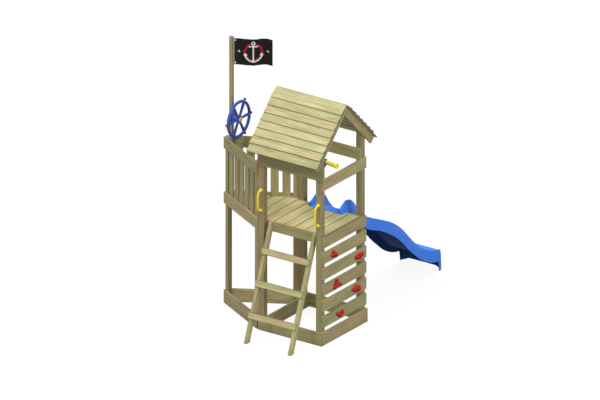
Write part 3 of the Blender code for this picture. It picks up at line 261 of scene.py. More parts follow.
def timber(name, pale, late, rim=0.006, edge_shade=0.18, ends=0.22, knot=(0.16, 0.095, 0.04)):
    """Planed, pressure-treated softwood, grained along each piece's own direction.

    A piece says where its middle is and which ways it runs, along its grain and across it. Growth
    rings run round a pith that lies off each board's middle, so faces show lines or arches, and
    sawn ends show arcs. rim is how far in from its long edges a face is darkened by painted shade.
    """
    made, tree, shader = finish(name)
    place = own_place(tree)
    offset = node(tree, "VectorMath", (place, own(tree, "middle")), operation="SUBTRACT")
    half_y = part_of(tree, own(tree, "half"), "Y")
    along = own(tree, "along")
    across = own(tree, "across")
    through = node(tree, "VectorMath", (along, across), operation="CROSS_PRODUCT")
    x, y, z = (dot(tree, offset, way) for way in (along, across, through))
    seed = own(tree, "seed", "Fac")
    start = x + seed * SEED_SHIFT

    def strands(rate, across_rate, detail, rough=0.5):
        """Noise that is drawn out along the grain."""
        drawn = vector(tree, start * rate, y * across_rate, z * across_rate)
        return noise_at(tree, drawn, 1.0, detail, rough)

    cell = vector(tree, start / KNOT_CELL, y / KNOT_CELL_WIDTH, seed * 9.0)
    nearest = tree.nodes.new("ShaderNodeTexVoronoi")
    tree.links.new(cell.socket, nearest.inputs["Vector"])
    nearest.inputs["Scale"].default_value = 1.0
    reach = Formula(tree, nearest.outputs["Distance"])
    lot = node(tree, "SeparateColor", (Formula(tree, nearest.outputs["Color"]),))
    there = lot.step(0.52, 0.56)
    heart = reach.fall(0.035, 0.065) * there
    swirl = reach.fall(0.0, 0.30) * there

    bend = strands(0.9, 3.0, 1.0) - 0.5
    pith_y = (seed * 7.13).fract() * 0.16 - 0.08
    pith_z = (seed * 3.71).fract() * -0.07 - 0.014
    radius = hypot(y - pith_y + bend * 0.055, z - pith_z) + x * 0.012 + swirl * 0.013
    ring = (radius / RING).fract()
    late_wood = ring.step(0.35, 0.90) * ring.fall(0.93, 1.0)

    fibre = strands(8.0, 380.0, 2.0)
    streak = strands(0.8, 24.0, 2.5, 0.6)
    patch = strands(2.5, 14.0, 3.0, 0.65)
    stain = strands(1.6, 45.0, 2.0, 0.6)
    band = strands(1.1, 75.0, 2.0, 0.7)

    wood = blend(tree, late_wood * 0.55 + fibre.step(0.35, 0.75) * 0.30, pale, late)
    warm = (streak.step(0.35, 0.65) * 0.65 + own(tree, "warmth", "Fac")).least(1.0)
    for share, low, high in (
        (warm, (0.88, 0.99, 0.89), (1.11, 0.975, 0.965)),
        (patch.step(0.32, 0.68), (0.86, 0.87, 0.84), (1.08, 1.08, 1.06)),
        (band.step(0.30, 0.70), (0.87, 0.87, 0.84), (1.10, 1.10, 1.10)),
        (stain.step(0.56, 0.74), WHITE, (0.66, 0.68, 0.60)),
    ):
        wood = tinted(tree, wood, blend(tree, share, low, high))
    wood = blend(tree, heart * 0.85, wood, knot)
    # Painted shade: faces darken towards their long edges and fully on their side faces, as shade in seams,
    # under laps and on the posts' sides.
    edge = (half_y - y.size()).step(0.0005, rim)
    sawn = dot(tree, own_facing(tree), along).size()
    # The piece's own shade is its tone, with painted light on some pieces and painted shade on others.
    shade = own(tree, "shade", "Fac") * (sawn.step(0.80, 0.95) * -ends + 1.0)
    damp = (part_of(tree, place, "Z") + patch * 0.06 - 0.03).step(0.0, 0.11)
    shade = shade * (damp * 0.16 + 0.84) * (edge * edge_shade + (1.0 - edge_shade))
    wood = tinted(tree, wood, vector(tree, shade, shade, shade))

    height = late_wood * 0.5 + fibre * 0.7 + heart * 0.5
    wire(tree, shader, wood, fibre * 0.16 + 0.60, height, 0.0007, 0.55)
    return made


def plastic(
    name, colour, dull, rough, grain=900.0, depth=0.00012, streaks=None, back=None, worn=WHITE, **plain,
):
    """Moulded plastic: faint mottling, a fine pebbled skin and, where used, scuffs along one way.

    back is painted shade on faces that point down, and worn a painted highlight on faces that point up.
    """
    made, tree, shader = finish(name, **plain)
    place = own_place(tree)
    cloud = noise_at(tree, place, 9.0, 3.0)
    pebble = noise_at(tree, place, grain, 1.0)
    share = cloud.step(0.25, 0.75) * 0.5
    gloss = cloud * 0.10 + (pebble * 0.08 + (rough - 0.09))
    if streaks:
        lines = vector(tree, *(part_of(tree, place, axis) * rate for axis, rate in zip("XYZ", streaks)))
        scuff = noise_at(tree, lines, 1.0, 3.0, 0.65).step(0.50, 0.74)
        share = (share + scuff * 0.35).least(1.0)
        gloss = gloss + scuff * 0.14
    skin = blend(tree, share, colour, dull)
    # Painted shade on faces that point down, and a painted highlight on faces that point up.
    if back:
        rise = part_of(tree, own_facing(tree), "Z")
        skin = tinted(tree, skin, blend(tree, rise.step(-0.14, -0.04), back, WHITE))
        skin = tinted(tree, skin, blend(tree, rise.step(0.45, 0.85), WHITE, worn))
        gloss = gloss + rise.fall(-0.14, -0.04) * 0.45
    wire(tree, shader, skin, gloss, pebble + cloud * 0.5, depth, 0.4)
    return made


def metal(name, colour, worn, rough):
    made, tree, shader = finish(name, Metallic=1.0)
    spangle = noise_at(tree, own_place(tree), 260.0, 2.0)
    wire(tree, shader, blend(tree, spangle, colour, worn), spangle * 0.25 + rough, spangle, 0.0001, 0.3)
    return made


# After the two colours come how far in and how deep the painted edge shade goes, then how dark sawn ends
# are.
POST_WOOD = timber("post_wood", (0.398, 0.339, 0.176), (0.279, 0.229, 0.113), 0.0045, 0.127)
BOARD_WOOD = timber("board_wood", (0.417, 0.373, 0.185), (0.303, 0.262, 0.125))
DECK_WOOD = timber("deck_wood", (0.595, 0.548, 0.293), (0.455, 0.400, 0.210), 0.011, 0.55)
ROOF_WOOD = timber("roof_wood", (0.53, 0.49, 0.262), (0.41, 0.365, 0.185), 0.010, 0.60, 0.62)
# The slide's blue, with painted shade on faces that point down and a painted highlight on faces that point
# up.
SLIDE_BLUE = plastic(
    "slide_blue", (0.030, 0.185, 0.80), (0.050, 0.225, 0.84), 0.38, streaks=(160.0, 3.0, 25.0),
    back=(0.20, 0.15, 0.13), worn=(1.55, 1.35, 1.18), Specular_IOR_Level=0.22,
)
# A darker copy of the slide's blue for the shell's underside: painted shade.
SLIDE_UNDER_SHADE = plastic(
    "slide_under_shade", (0.0100, 0.043, 0.160), (0.0125, 0.050, 0.180), 0.80, Specular_IOR_Level=0.12,
)
WHEEL_BLUE = plastic(
    "wheel_blue", (0.042, 0.085, 0.42), (0.065, 0.115, 0.47), 0.38, Specular_IOR_Level=0.35,
)
YELLOW = plastic(
    "yellow_plastic", (0.93, 0.68, 0.012), (0.95, 0.74, 0.03), 0.40, Specular_IOR_Level=0.30,
)
# The holds' red, with painted shade on faces that point down.
RED = plastic(
    "red_plastic", (0.46, 0.006, 0.008), (0.54, 0.014, 0.013), 0.30, 420.0, 0.0006,
    back=(0.55, 0.45, 0.45), Specular_IOR_Level=0.30,
)
STEEL = metal("zinc_steel", (0.60, 0.60, 0.57), (0.45, 0.45, 0.44), 0.30)
SCREW = metal("screw_steel", (0.42, 0.38, 0.28), (0.30, 0.27, 0.20), 0.42)
EYELET = metal("eyelet_nickel", (0.92, 0.92, 0.92), (0.85, 0.85, 0.84), 0.22)


# Meshes


def placed(name, data):
    """A new object in the scene."""
    made = bpy.data.objects.new(name, data)
    bpy.context.scene.collection.objects.link(made)
    return made


def piece(name, data, finish_, replaced=None, body="tower"):
    """A new piece of the object, from a mesh in the frame's own metres."""
    data.materials.clear()
    data.materials.append(finish_)
    made = placed(name, data)
    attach(made, body)
    if replaced:
        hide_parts(replaced)
    return made


def plain_mesh(name, shape):
    """The mesh of a bmesh, which is then freed."""
    data = bpy.data.meshes.new(name)
    shape.to_mesh(data)
    shape.free()
    return data


def mesh_of(name, shape, sharp=40):
    """A smooth-shaded mesh from a bmesh, with its sharp edges kept."""
    return smoothed(plain_mesh(name, shape), sharp)


def smoothed(data, sharp=40):
    data.shade_smooth()
    data.set_sharp_from_angle(angle=math.radians(sharp))
    return data


def solid(name, shape, finish_, replaced=None, body="tower"):
    return piece(name, mesh_of(name, shape), finish_, replaced, body)


def aim(location, direction):
    turn = Vector(direction).to_track_quat("Z", "Y").to_matrix().to_4x4()
    return Matrix.Translation(Vector(location)) @ turn


def spin(shape, profile, location, direction, sides=32, closed=False):
    """Add a turned form to a bmesh: (radius, height) points up the outer side, round a direction."""
    place = aim(location, direction)
    rings = []
    for radius, height in profile:
        if radius < 1e-6:
            rings.append([shape.verts.new(place @ Vector((0, 0, height)))] * sides)
            continue
        ring = []
        for i in range(sides):
            angle = math.tau * i / sides
            spot = Vector((radius * math.cos(angle), radius * math.sin(angle), height))
            ring.append(shape.verts.new(place @ spot))
        rings.append(ring)
    pairs = list(zip(rings, rings[1:]))
    if closed:
        pairs.append((rings[-1], rings[0]))
    for lower, upper in pairs:
        for i in range(sides):
            j = (i + 1) % sides
            corners = []
            for vert in (lower[i], lower[j], upper[j], upper[i]):
                if vert not in corners:
                    corners.append(vert)
            if len(corners) > 2:
                shape.faces.new(corners)


def sweep(shape, path, radii, sides=16):
    """Add a round bar along a path to a bmesh, with flat ends."""
    rings = []
    side = None
    for i, spot in enumerate(path):
        ahead = path[min(i + 1, len(path) - 1)] - path[max(i - 1, 0)]
        ahead.normalize()
        if side is None:
            side = ahead.orthogonal().normalized()
        side = (side - ahead * side.dot(ahead)).normalized()
        other = ahead.cross(side)
        ring = []
        for j in range(sides):
            angle = math.tau * j / sides
            offset = (side * math.cos(angle) + other * math.sin(angle)) * radii[i]
            ring.append(shape.verts.new(spot + offset))
        rings.append(ring)
    for lower, upper in zip(rings, rings[1:]):
        for j in range(sides):
            k = (j + 1) % sides
            shape.faces.new((lower[j], lower[k], upper[k], upper[j]))
    shape.faces.new(rings[0][::-1])
    shape.faces.new(rings[-1])


def ball(shape, centre, radii, turn):
    """Add a turned ellipsoid to a bmesh."""
    place = Matrix.Translation(centre) @ turn @ Matrix.Diagonal((*radii, 1.0))
    bmesh.ops.create_icosphere(shape, subdivisions=3, radius=1.0, matrix=place)


def moulded(name, shape, voxel, rounds):
    """Fuse the overlapping forms of a bmesh into one skin with filleted joints."""
    bmesh.ops.recalc_face_normals(shape, faces=shape.faces)
    rough = placed(name + "_rough", plain_mesh(name, shape))
    skin = rough.modifiers.new("skin", "REMESH")
    skin.mode = "VOXEL"
    skin.voxel_size = voxel
    fillet = rough.modifiers.new("fillet", "SMOOTH")
    fillet.factor = 0.5
    fillet.iterations = rounds
    made = applied(rough)
    made.shade_smooth()
    return made


def applied(obj):
    """The evaluated mesh of a working object, which is then removed."""
    bpy.context.view_layer.update()
    graph = bpy.context.evaluated_depsgraph_get()
    data = bpy.data.meshes.new_from_object(obj.evaluated_get(graph))
    data.transform(obj.matrix_world)
    name = obj.name
    bpy.data.objects.remove(obj, do_unlink=True)
    data.name = name
    return data


def drilled(data, location, direction, radius, length):
    """Cut a round hole through a mesh."""
    shape = bmesh.new()
    bmesh.ops.create_cone(
        shape, cap_ends=True, segments=32, radius1=radius, radius2=radius, depth=length,
        matrix=aim(location, direction),
    )
    base = placed(data.name + "_base", data)
    tool = placed(data.name + "_drill", plain_mesh(data.name + "_drill", shape))
    cut = base.modifiers.new("hole", "BOOLEAN")
    cut.operation = "DIFFERENCE"
    cut.solver = "EXACT"
    cut.object = tool
    made = applied(base)
    bpy.data.objects.remove(tool, do_unlink=True)
    return smoothed(made)


# Timber pieces

dice = random.Random(7)


def refinish(obj, finish_):
    for i in range(len(obj.data.materials)):
        obj.data.materials[i] = finish_


def grained(obj, finish_, along, across, shade=1.0, warmth=None):
    """Give a timber piece its finish and its own grain direction, tone and rings."""
    ways = (along, across, along.cross(across))
    middle = Vector((0, 0, 0))
    half = []
    for way in ways:
        reach = [vert.co.dot(way) for vert in obj.data.vertices]
        middle += way * (min(reach) + max(reach)) / 2
        half.append((max(reach) - min(reach)) / 2)
    obj["middle"] = list(middle)
    obj["half"] = half
    obj["along"] = list(along)
    obj["across"] = list(across)
    obj["seed"] = dice.random()
    # shade sets the piece's tone; on some pieces it also holds painted light, and on others painted shade.
    obj["shade"] = shade * dice.uniform(0.93, 1.06)
    chance = dice.uniform(0.0, 0.55)
    obj["warmth"] = chance if warmth is None else warmth
    refinish(obj, finish_)


X = Vector((1, 0, 0))
Y = Vector((0, 1, 0))
Z = Vector((0, 0, 1))
BOW_REACH = 0.850
BOW_ANGLE = math.atan2(HALF, BOW_REACH)
BOW_SIDE = math.hypot(HALF, BOW_REACH)
BOW_ALONG = {side: Vector((math.cos(BOW_ANGLE), side * math.sin(BOW_ANGLE), 0)) for side in (-1, 1)}
BOW_OUT = {side: Vector((-math.sin(BOW_ANGLE), side * math.cos(BOW_ANGLE), 0)) for side in (-1, 1)}
LADDER_SLOPE = math.radians(69.6)
LADDER_UP = Vector((0, math.cos(LADDER_SLOPE), math.sin(LADDER_SLOPE)))
LADDER_OUT = Vector((0, -math.sin(LADDER_SLOPE), math.cos(LADDER_SLOPE)))
SLOPE = math.radians(45.0)


def grain_cad_timber():
    """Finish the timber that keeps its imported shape."""
    for name in ("front_left", "front_right", "back_right", "back_left"):
        grained(nodes["post_" + name], POST_WOOD, Z, X, 0.95)
    for name in ("bow_stem_post", "bow_upright_front", "bow_upright_back", "mast"):
        grained(nodes[name], POST_WOOD, Z, X)
    # beam_front's 0.80 is a painted shadow from the eave, and beam_back's 1.48 is painted light on its inner
    # face.
    for name, shade in (
        ("base_board_front", 1.0), ("base_board_back", 1.0), ("beam_front", 0.80), ("beam_back", 1.48),
        ("deck_fascia_front", 1.0), ("deck_fascia_back", 1.0),
    ):
        grained(nodes[name], BOARD_WOOD, X, Z, shade)
    for name in ("base_board_left", *RIGHT_BOARDS):
        # rail_right's 1.16 is painted light.
        grained(nodes[name], BOARD_WOOD, Y, Z, 1.16 if name == "rail_right" else 1.0)
    for place, side in PLACES:
        # The back bow base board's higher value is painted light on its inner face.
        for name, shade in (("bow_base_board_", 1.18 + 0.18 * side), ("bow_mid_board_", 1.0)):
            grained(nodes[name + place], BOARD_WOOD, BOW_ALONG[side], Z, shade)
        down = Vector((0, side * math.cos(SLOPE), -math.sin(SLOPE)))
        for end in ("_left", "_right"):
            grained(nodes["rafter_" + place + end], BOARD_WOOD, down, X.cross(down))
    for name in ("ladder_stringer_left", "ladder_stringer_right"):
        # The stringers' 1.28 is painted light.
        grained(nodes[name], BOARD_WOOD, LADDER_UP, LADDER_OUT, 1.28, 0.25)
    for i, warmth in ((1, 0.7), (2, 0.0), (3, 0.9)):
        grained(nodes[f"ladder_rung_{i}"], DECK_WOOD, X, LADDER_UP, 0.90, warmth)


def prism(name, outline, low, high, way):
    """A board with eased edges from a flat outline. Its points are (y, z) along X, else (x, y)."""
    shape = bmesh.new()
    for level in (low, high):
        for u, v in outline:
            shape.verts.new((level, u, v) if way == "X" else (u, v, level))
    shape.verts.ensure_lookup_table()
    count = len(outline)
    shape.faces.new(shape.verts[:count][::-1])
    shape.faces.new(shape.verts[count:])
    for i in range(count):
        j = (i + 1) % count
        shape.faces.new([shape.verts[k] for k in (i, j, j + count, i + count)])
    bmesh.ops.recalc_face_normals(shape, faces=shape.faces)
    bmesh.ops.bevel(
        shape, geom=shape.edges[:], offset=EASED, segments=2, profile=0.6, affect="EDGES",
    )
    return plain_mesh(name, shape)


def timber_piece(name, outline, low, high, way, finish_, replaced, along, across, **tone):
    made = piece(name, prism(name, outline, low, high, way), finish_, replaced)
    grained(made, finish_, along, across, **tone)
    return made


def rectangle(low_u, low_v, high_u, high_v):
    """An outline from two of its corners."""
    return [(low_u, low_v), (high_u, low_v), (high_u, high_v), (low_u, high_v)]


DECK_BOARD_T = 0.025
DECK_SEAM = 0.005
DECK_COUNT = 6
PITCH = 2 * HALF / DECK_COUNT
DECK_UNDER = DECK_TOP - DECK_BOARD_T
JOIST_T = 0.045


def lay_deck():
    """Six boards on three joists."""
    low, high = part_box("deck_floor")
    for i in range(DECK_COUNT):
        left = CX - HALF + i * PITCH + DECK_SEAM / 2
        outline = rectangle(left, low.y, left + PITCH - DECK_SEAM, high.y)
        timber_piece(
            f"deck_board_{i + 1}", outline, DECK_UNDER, DECK_TOP, "Z", DECK_WOOD, "deck_floor", Y, X,
        )
    for i, y in enumerate((low.y, CY - JOIST_T / 2, high.y - JOIST_T)):
        outline = rectangle(low.x, y, high.x, y + JOIST_T)
        timber_piece(
            f"deck_joist_{i + 1}", outline, low.z, DECK_UNDER - GAP, "Z", BOARD_WOOD, "deck_floor", X, Z,
        )


UPRIGHT_WIDTH = 0.110
UPRIGHT_T = 0.045
STEM_DEPTH = 0.0813
CLEAT_SIDE = 0.045
CLEAT_CLEARANCE = 0.002  # from a cleat's end to the upright
DECK_EDGE = 0.003  # from the bow's boards to the panels round them
TIP_X = CX - HALF - BOW_REACH


def bow_point(side, along, inset):
    """A point of a bow panel in plan: side -1 is the front panel and 1 the back one."""
    spot = Vector((TIP_X, CY, 0)) + BOW_ALONG[side] * along - BOW_OUT[side] * inset
    return spot.x, spot.y


def bow_strip(side, start, end, near, far):
    """The plan of a board that runs along a bow panel."""
    corners = ((start, near), (end, near), (end, far), (start, far))
    return [bow_point(side, along, inset) for along, inset in corners]


def lay_bow_deck():
    """Boards cut to the bow's panels and round the uprights, on two cleats."""
    start = BOW_SIDE - UPRIGHT_WIDTH
    stem_back = -HALF - BOW_REACH + STEM_DEPTH

    def panel_y(x):
        return (x + HALF + BOW_REACH) * math.tan(BOW_ANGLE) - DECK_EDGE / math.cos(BOW_ANGLE)

    def upright_y(x):
        return panel_y(x) - UPRIGHT_T / math.cos(BOW_ANGLE)

    step_out = bow_point(1, start - DECK_EDGE, 0.0)[0] - CX
    step_in = bow_point(1, start - DECK_EDGE, UPRIGHT_T)[0] - CX
    right = -HALF - DECK_SEAM / 2
    number = 1
    while right > stem_back + 2 * DECK_SEAM:
        left = max(right - PITCH + DECK_SEAM, stem_back + DECK_EDGE)
        upper = [(left, panel_y(left)), (right, panel_y(right))]
        if number == 1:
            upper = [
                (left, panel_y(left)), (step_out, panel_y(step_out)),
                (step_in, upright_y(step_in)), (right, upright_y(right)),
            ]
        outline = upper + [(x, -y) for x, y in reversed(upper)]
        outline = [(x + CX, y + CY) for x, y in outline]
        timber_piece(
            f"bow_deck_board_{number}", outline, DECK_UNDER, DECK_TOP, "Z", DECK_WOOD, "bow_deck", Y, X,
        )
        right = left - DECK_SEAM
        number += 1
    top = DECK_UNDER - GAP
    for place, side in PLACES:
        first = STEM_DEPTH / math.cos(BOW_ANGLE) + CLEAT_SIDE
        strip = bow_strip(side, first, start - CLEAT_CLEARANCE, GAP, CLEAT_SIDE)
        timber_piece(
            "bow_cleat_" + place, strip, top - CLEAT_SIDE, top, "Z", BOARD_WOOD, "bow_deck",
            BOW_ALONG[side], Z,
        )


BOW_TIP_SETBACK = 0.0168
BOW_END_SETBACK = 0.0071  # at the tower's end
BOW_BOARD_LENGTH = BOW_SIDE - BOW_TIP_SETBACK - BOW_END_SETBACK
BOW_RAIL_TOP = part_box("bow_railing_front")[1].z
SLAT_WIDTH = 0.102
SLAT_T = 0.020
SLAT_COUNT = 5
SLAT_START = 0.130
SLAT_END_GAP = 0.0369  # from the last slat to the upright
SLAT_PITCH = (BOW_SIDE - UPRIGHT_WIDTH - SLAT_END_GAP - SLAT_WIDTH - SLAT_START) / (SLAT_COUNT - 1)
SLAT_DROP = 0.057  # from the rail's top to the slats'
SLAT_TONES = {  # shade and warmth of each slat, from the stem to the tower
    -1: ((1.0, 0.0), (0.96, 0.85), (0.98, 0.05), (0.98, 0.75), (0.90, 0.15)),
    1: ((1.0, 0.3), (1.02, 0.2), (0.98, 0.5), (1.0, 0.15), (0.98, 0.6)),
}


def hang_bow_railings():
    """A top rail outside each panel and the slats inside it."""
    for place, side in PLACES:
        name = "bow_railing_" + place
        strip = bow_strip(side, BOW_TIP_SETBACK, BOW_TIP_SETBACK + BOW_BOARD_LENGTH, -BOARD_T, -GAP)
        timber_piece(
            "bow_rail_" + place, strip, BOW_RAIL_TOP - BOARD_HEIGHT, BOW_RAIL_TOP, "Z", BOARD_WOOD,
            name, BOW_ALONG[side], Z,
        )
        for i in range(SLAT_COUNT):
            first = SLAT_START + i * SLAT_PITCH
            strip = bow_strip(side, first, first + SLAT_WIDTH, GAP, SLAT_T)
            shade, warmth = SLAT_TONES[side][i]
            timber_piece(
                f"bow_slat_{place}_{i + 1}", strip, DECK_TOP + GAP, BOW_RAIL_TOP - SLAT_DROP, "Z",
                BOARD_WOOD, name, Z, BOW_ALONG[side], shade=shade, warmth=warmth,
            )


POST_TOP_CLEARANCE = 0.008  # from a post's top to the line of the rafters' top edges
APEX = corner_top.z + POST_TOP_CLEARANCE + HALF * math.tan(SLOPE)
PLANK_T = 0.016
PLANK_WIDTH = 0.154
PLANK_COUNT = 8
EAVE_OVERHANG = 0.2417  # past the posts, down the slope
EAVE = HALF / math.cos(SLOPE) + EAVE_OVERHANG
PLANK_PITCH = (EAVE - PLANK_WIDTH) / (PLANK_COUNT - 1)
LAP_BITE = 0.0008
ROOF_END = HALF + 0.060  # from the middle to the planks' ends


def roof_point(side, down, out):
    """A point (y, z) of a roof slope: distance down from the apex, and out from the rafters."""
    y = CY + side * (down * math.cos(SLOPE) + out * math.sin(SLOPE))
    return y, APEX - down * math.sin(SLOPE) + out * math.cos(SLOPE)


def plank_outline(side, top_edge, tilt):
    points = []
    for across, up in ((0.0, 0.0), (PLANK_WIDTH, 0.0), (PLANK_WIDTH, PLANK_T), (0.0, PLANK_T)):
        down = top_edge + across * math.cos(tilt) - up * math.sin(tilt)
        out = GAP + across * math.sin(tilt) + up * math.cos(tilt)
        points.append(roof_point(side, down, out))
    return points


def lay_roof():
    """Lapped planks from the eaves up, the top ones mitred at the ridge."""
    for place, side in PLACES:
        tilt = 0.0
        for k in reversed(range(PLANK_COUNT)):
            outline = plank_outline(side, k * PLANK_PITCH, tilt)
            if k == 0:
                y = CY + side * GAP / 2
                z = APEX + GAP / math.cos(SLOPE)
                top = (y, z + PLANK_T / math.cos(SLOPE - tilt))
                outline = [(y, z), outline[1], outline[2], top]
            rise = PLANK_T * math.cos(tilt) - LAP_BITE
            tilt = math.atan2(rise, PLANK_PITCH - PLANK_T * math.sin(tilt))
            eave = k == PLANK_COUNT - 1
            timber_piece(
                f"roof_plank_{place}_{k + 1}", outline, CX - ROOF_END, CX + ROOF_END, "X", ROOF_WOOD,
                "roof_panel_" + place, X, unit(0, side, -1),
                shade=0.94 if eave else 1.0, warmth=0.0 if eave else None,
            )


# Fasteners

SCREW_RADIUS = 0.0045
SCREW_SINK = -0.0012  # the bottom of the recess
BOARD_SPREAD = 0.042  # from a wide board's middle to each of its two screws
RUNG_SPREAD = 0.022
DECK_SPREAD = 0.045
SLAT_SPREAD = 0.055
STEM_SCREWS = 0.060  # along a bow board, to the screws at the stem
RUNG_FACE = 0.014  # from a rung's middle to its outer face
ROOF_SCREWS = 0.020  # down from the lap
ROOF_SINK = 0.0145
UP_DOWN = (Z, -Z)
screws = []


def screw_row(spot, ways, out, spacing):
    """Countersunk screws at a place: ways says how many steps of the spacing each one is off it."""
    for way in ways:
        screws.append((Vector(spot) + Vector(way) * spacing, Vector(out)))


def collect_screws():
    """Where boards cross what carries them."""
    half_post = POST_SIDE / 2
    right_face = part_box("rail_right")[1].x
    for name in RIGHT_BOARDS:
        low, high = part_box(name)
        for y in (low.y + half_post, high.y - half_post):
            screw_row((right_face, y, (low.z + high.z) / 2), UP_DOWN, X, BOARD_SPREAD)
    for name, out in (("base_board_front", -Y), ("base_board_back", Y), ("beam_front", -Y)):
        low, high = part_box(name)
        face = low.y if out.y < 0 else high.y
        for x in (CX - HALF + half_post, CX + HALF - half_post):
            screw_row((x, face, (low.z + high.z) / 2), UP_DOWN, out, BOARD_SPREAD)
    low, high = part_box("beam_back")
    for x in (low.x + half_post, high.x - half_post):
        screw_row((x, low.y, (low.z + high.z) / 2), UP_DOWN, -Y, BOARD_SPREAD)

    for place, side in PLACES:
        for name in ("bow_base_board_", "bow_mid_board_", "bow_railing_"):
            low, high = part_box(name + place)
            height = (max(low.z, high.z - BOARD_HEIGHT) + high.z) / 2
            for along in (STEM_SCREWS, BOW_SIDE - UPRIGHT_WIDTH / 2):
                x, y = bow_point(side, along, -BOARD_T)
                screw_row((x, y, height), UP_DOWN, BOW_OUT[side], BOARD_SPREAD)
        for i in range(SLAT_COUNT):
            x, y = bow_point(side, SLAT_START + i * SLAT_PITCH + SLAT_WIDTH / 2, -BOARD_T)
            spread = ((0, 0, -0.5), (0, 0, 0.25))
            screw_row((x, y, BOW_RAIL_TOP - BOARD_HEIGHT / 2), spread, BOW_OUT[side], SLAT_SPREAD)

    for i in range(1, 4):
        spot = middle_of(f"ladder_rung_{i}") + LADDER_OUT * RUNG_FACE
        for stringer in ("ladder_stringer_left", "ladder_stringer_right"):
            spot.x = middle_of(stringer).x
            screw_row(spot, (LADDER_UP, -LADDER_UP), LADDER_OUT, RUNG_SPREAD)

    low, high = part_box("deck_floor")
    for i in range(DECK_COUNT):
        x = CX - HALF + (i + 0.5) * PITCH
        for y in (low.y + JOIST_T / 2, CY, high.y - JOIST_T / 2):
            screw_row((x, y, DECK_TOP), (X, -X), Z, DECK_SPREAD)
    for place, side in PLACES:
        for x in (CX - HALF - BOARD_T / 2, CX + HALF + BOARD_T / 2):
            tilt = math.atan2(PLANK_T, PLANK_PITCH)
            for k in range(PLANK_COUNT):
                down = (k + 1) * PLANK_PITCH + ROOF_SCREWS
                y, z = roof_point(side, down, 2 * PLANK_T * math.cos(tilt) - ROOF_SINK)
                out = unit(0, side * math.sin(SLOPE - tilt), math.cos(SLOPE - tilt))
                screws.append((Vector((x, y, z)), out))


def drive_screws():
    """Flat heads with a star recess, a hair proud of the timber."""
    shape = bmesh.new()
    head = (
        (SCREW_RADIUS, -0.0006), (SCREW_RADIUS, 0.0002), (0.0039, 0.0006), (0.0021, 0.0005),
        (0.0017, SCREW_SINK), (0.0, SCREW_SINK),
    )
    for spot, out in screws:
        spin(shape, head, spot, out, 10)
    solid("wood_screws", shape, SCREW)


WASHER_T = 0.0018
HEX_SIDES = 6


def bolt_head(shape, spot, out, radius=0.0085, height=0.005, washer=0.012):
    """A washer and a domed hexagonal head."""
    rim = ((0.0, 0.0), (washer, 0.0), (washer, 0.0012), (washer - 0.0006, WASHER_T), (0.0, WASHER_T))
    spin(shape, rim, spot, out, 24)
    shoulder = WASHER_T + height * 0.8
    top = WASHER_T + height
    head = ((radius, WASHER_T), (radius, shoulder), (radius * 0.86, top), (0.0, top))
    spin(shape, head, spot, out, HEX_SIDES)


# Slide: the source's own stations. Shares are of the run from the mouth.

SLIDE_WALL = 0.006
SLIDE_RUN = 2.116
slide_low, slide_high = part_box("slide")
SLIDE_MOUTH = slide_low.y
SLIDE_X = (slide_low.x + slide_high.x) / 2
SLIDE_BED = DECK_TOP + GAP + SLIDE_WALL  # the bed's top at the mouth
SLIDE_ROWS = 120
SLIDE_FRONT_ROWS = 5
SLIDE_TOE_ROWS = 6
SLIDE_STEPS = 5
SLIDE_NOSE = 0.020
SLIDE_FRONT = 0.007  # share of the run over which the mouth's ears rise from the deck
SLIDE_LIP = 0.033  # from the ground to the toe's lower edge
SLIDE_FOOT = 0.042
SLIDE_FOOT_WIDTH = 0.020
SLIDE_FOOT_TAPER = 0.075
SKIRT_LIFT = 0.003  # the skirt's edge over the deck, above the bed's underside
BEAD_RADIUS = 0.0052
SLIDE_BOLT_IN = 0.040  # from the mouth
SLIDE_BOLT_ASIDE = 0.150
BED = (
    (0.0, 1.0), (0.056, 1.0), (0.10, 0.969), (0.14, 0.936), (0.19, 0.877), (0.235, 0.818), (0.30, 0.761),
    (0.445, 0.658), (0.522, 0.600), (0.60, 0.520), (0.76, 0.297), (0.815, 0.238), (0.87, 0.200),
    (0.925, 0.182), (1.0, 0.178),
)
RISE = (
    (0.0, 0.050), (0.075, 0.142), (0.115, 0.170), (0.15, 0.156), (0.19, 0.107), (0.24, 0.088), (0.45, 0.094),
    (0.60, 0.098), (0.76, 0.084), (0.87, 0.058), (1.0, 0.004),
)
SKIRT = (
    (0.0, 0.0), (0.06, 0.0), (0.12, 0.016), (0.1755, 0.068), (0.233, 0.083), (0.38, 0.054),
    (0.49, 0.072), (0.573, 0.091), (0.66, 0.110), (0.746, 0.091), (0.832, 0.090), (0.89, 0.100),
    (1.0, 0.135),
)
BED_HALF = ((0.0, 0.190), (0.5, 0.195), (0.85, 0.210), (1.0, 0.240))
CREST_HALF = ((0.0, 0.215), (0.12, 0.217), (0.30, 0.225), (0.60, 0.244), (0.815, 0.261), (1.0, 0.276))
EDGE_HALF = ((0.0, 0.268), (0.12, 0.276), (0.85, 0.290), (1.0, 0.298))


def smooth(points, x):
    """A smooth curve through points, in steps of x, without overshoot between level points."""
    last = len(points) - 1
    i = 0
    while i < last - 1 and x > points[i + 1][0]:
        i += 1

    def chord(k):
        return (points[k + 1][1] - points[k][1]) / (points[k + 1][0] - points[k][0])

    def steepness(k):
        if k in (0, last):
            return chord(min(k, last - 1))
        before = chord(k - 1)
        after = chord(k)
        return 0.0 if before * after <= 0 else 2 * before * after / (before + after)

    (x0, y0), (x1, y1) = points[i], points[i + 1]
    step = x1 - x0
    t = (x - x0) / step
    curve = (2 * t**3 - 3 * t**2 + 1) * y0 + (t**3 - 2 * t**2 + t) * step * steepness(i)
    return curve + (3 * t**2 - 2 * t**3) * y1 + (t**3 - t**2) * step * steepness(i + 1)


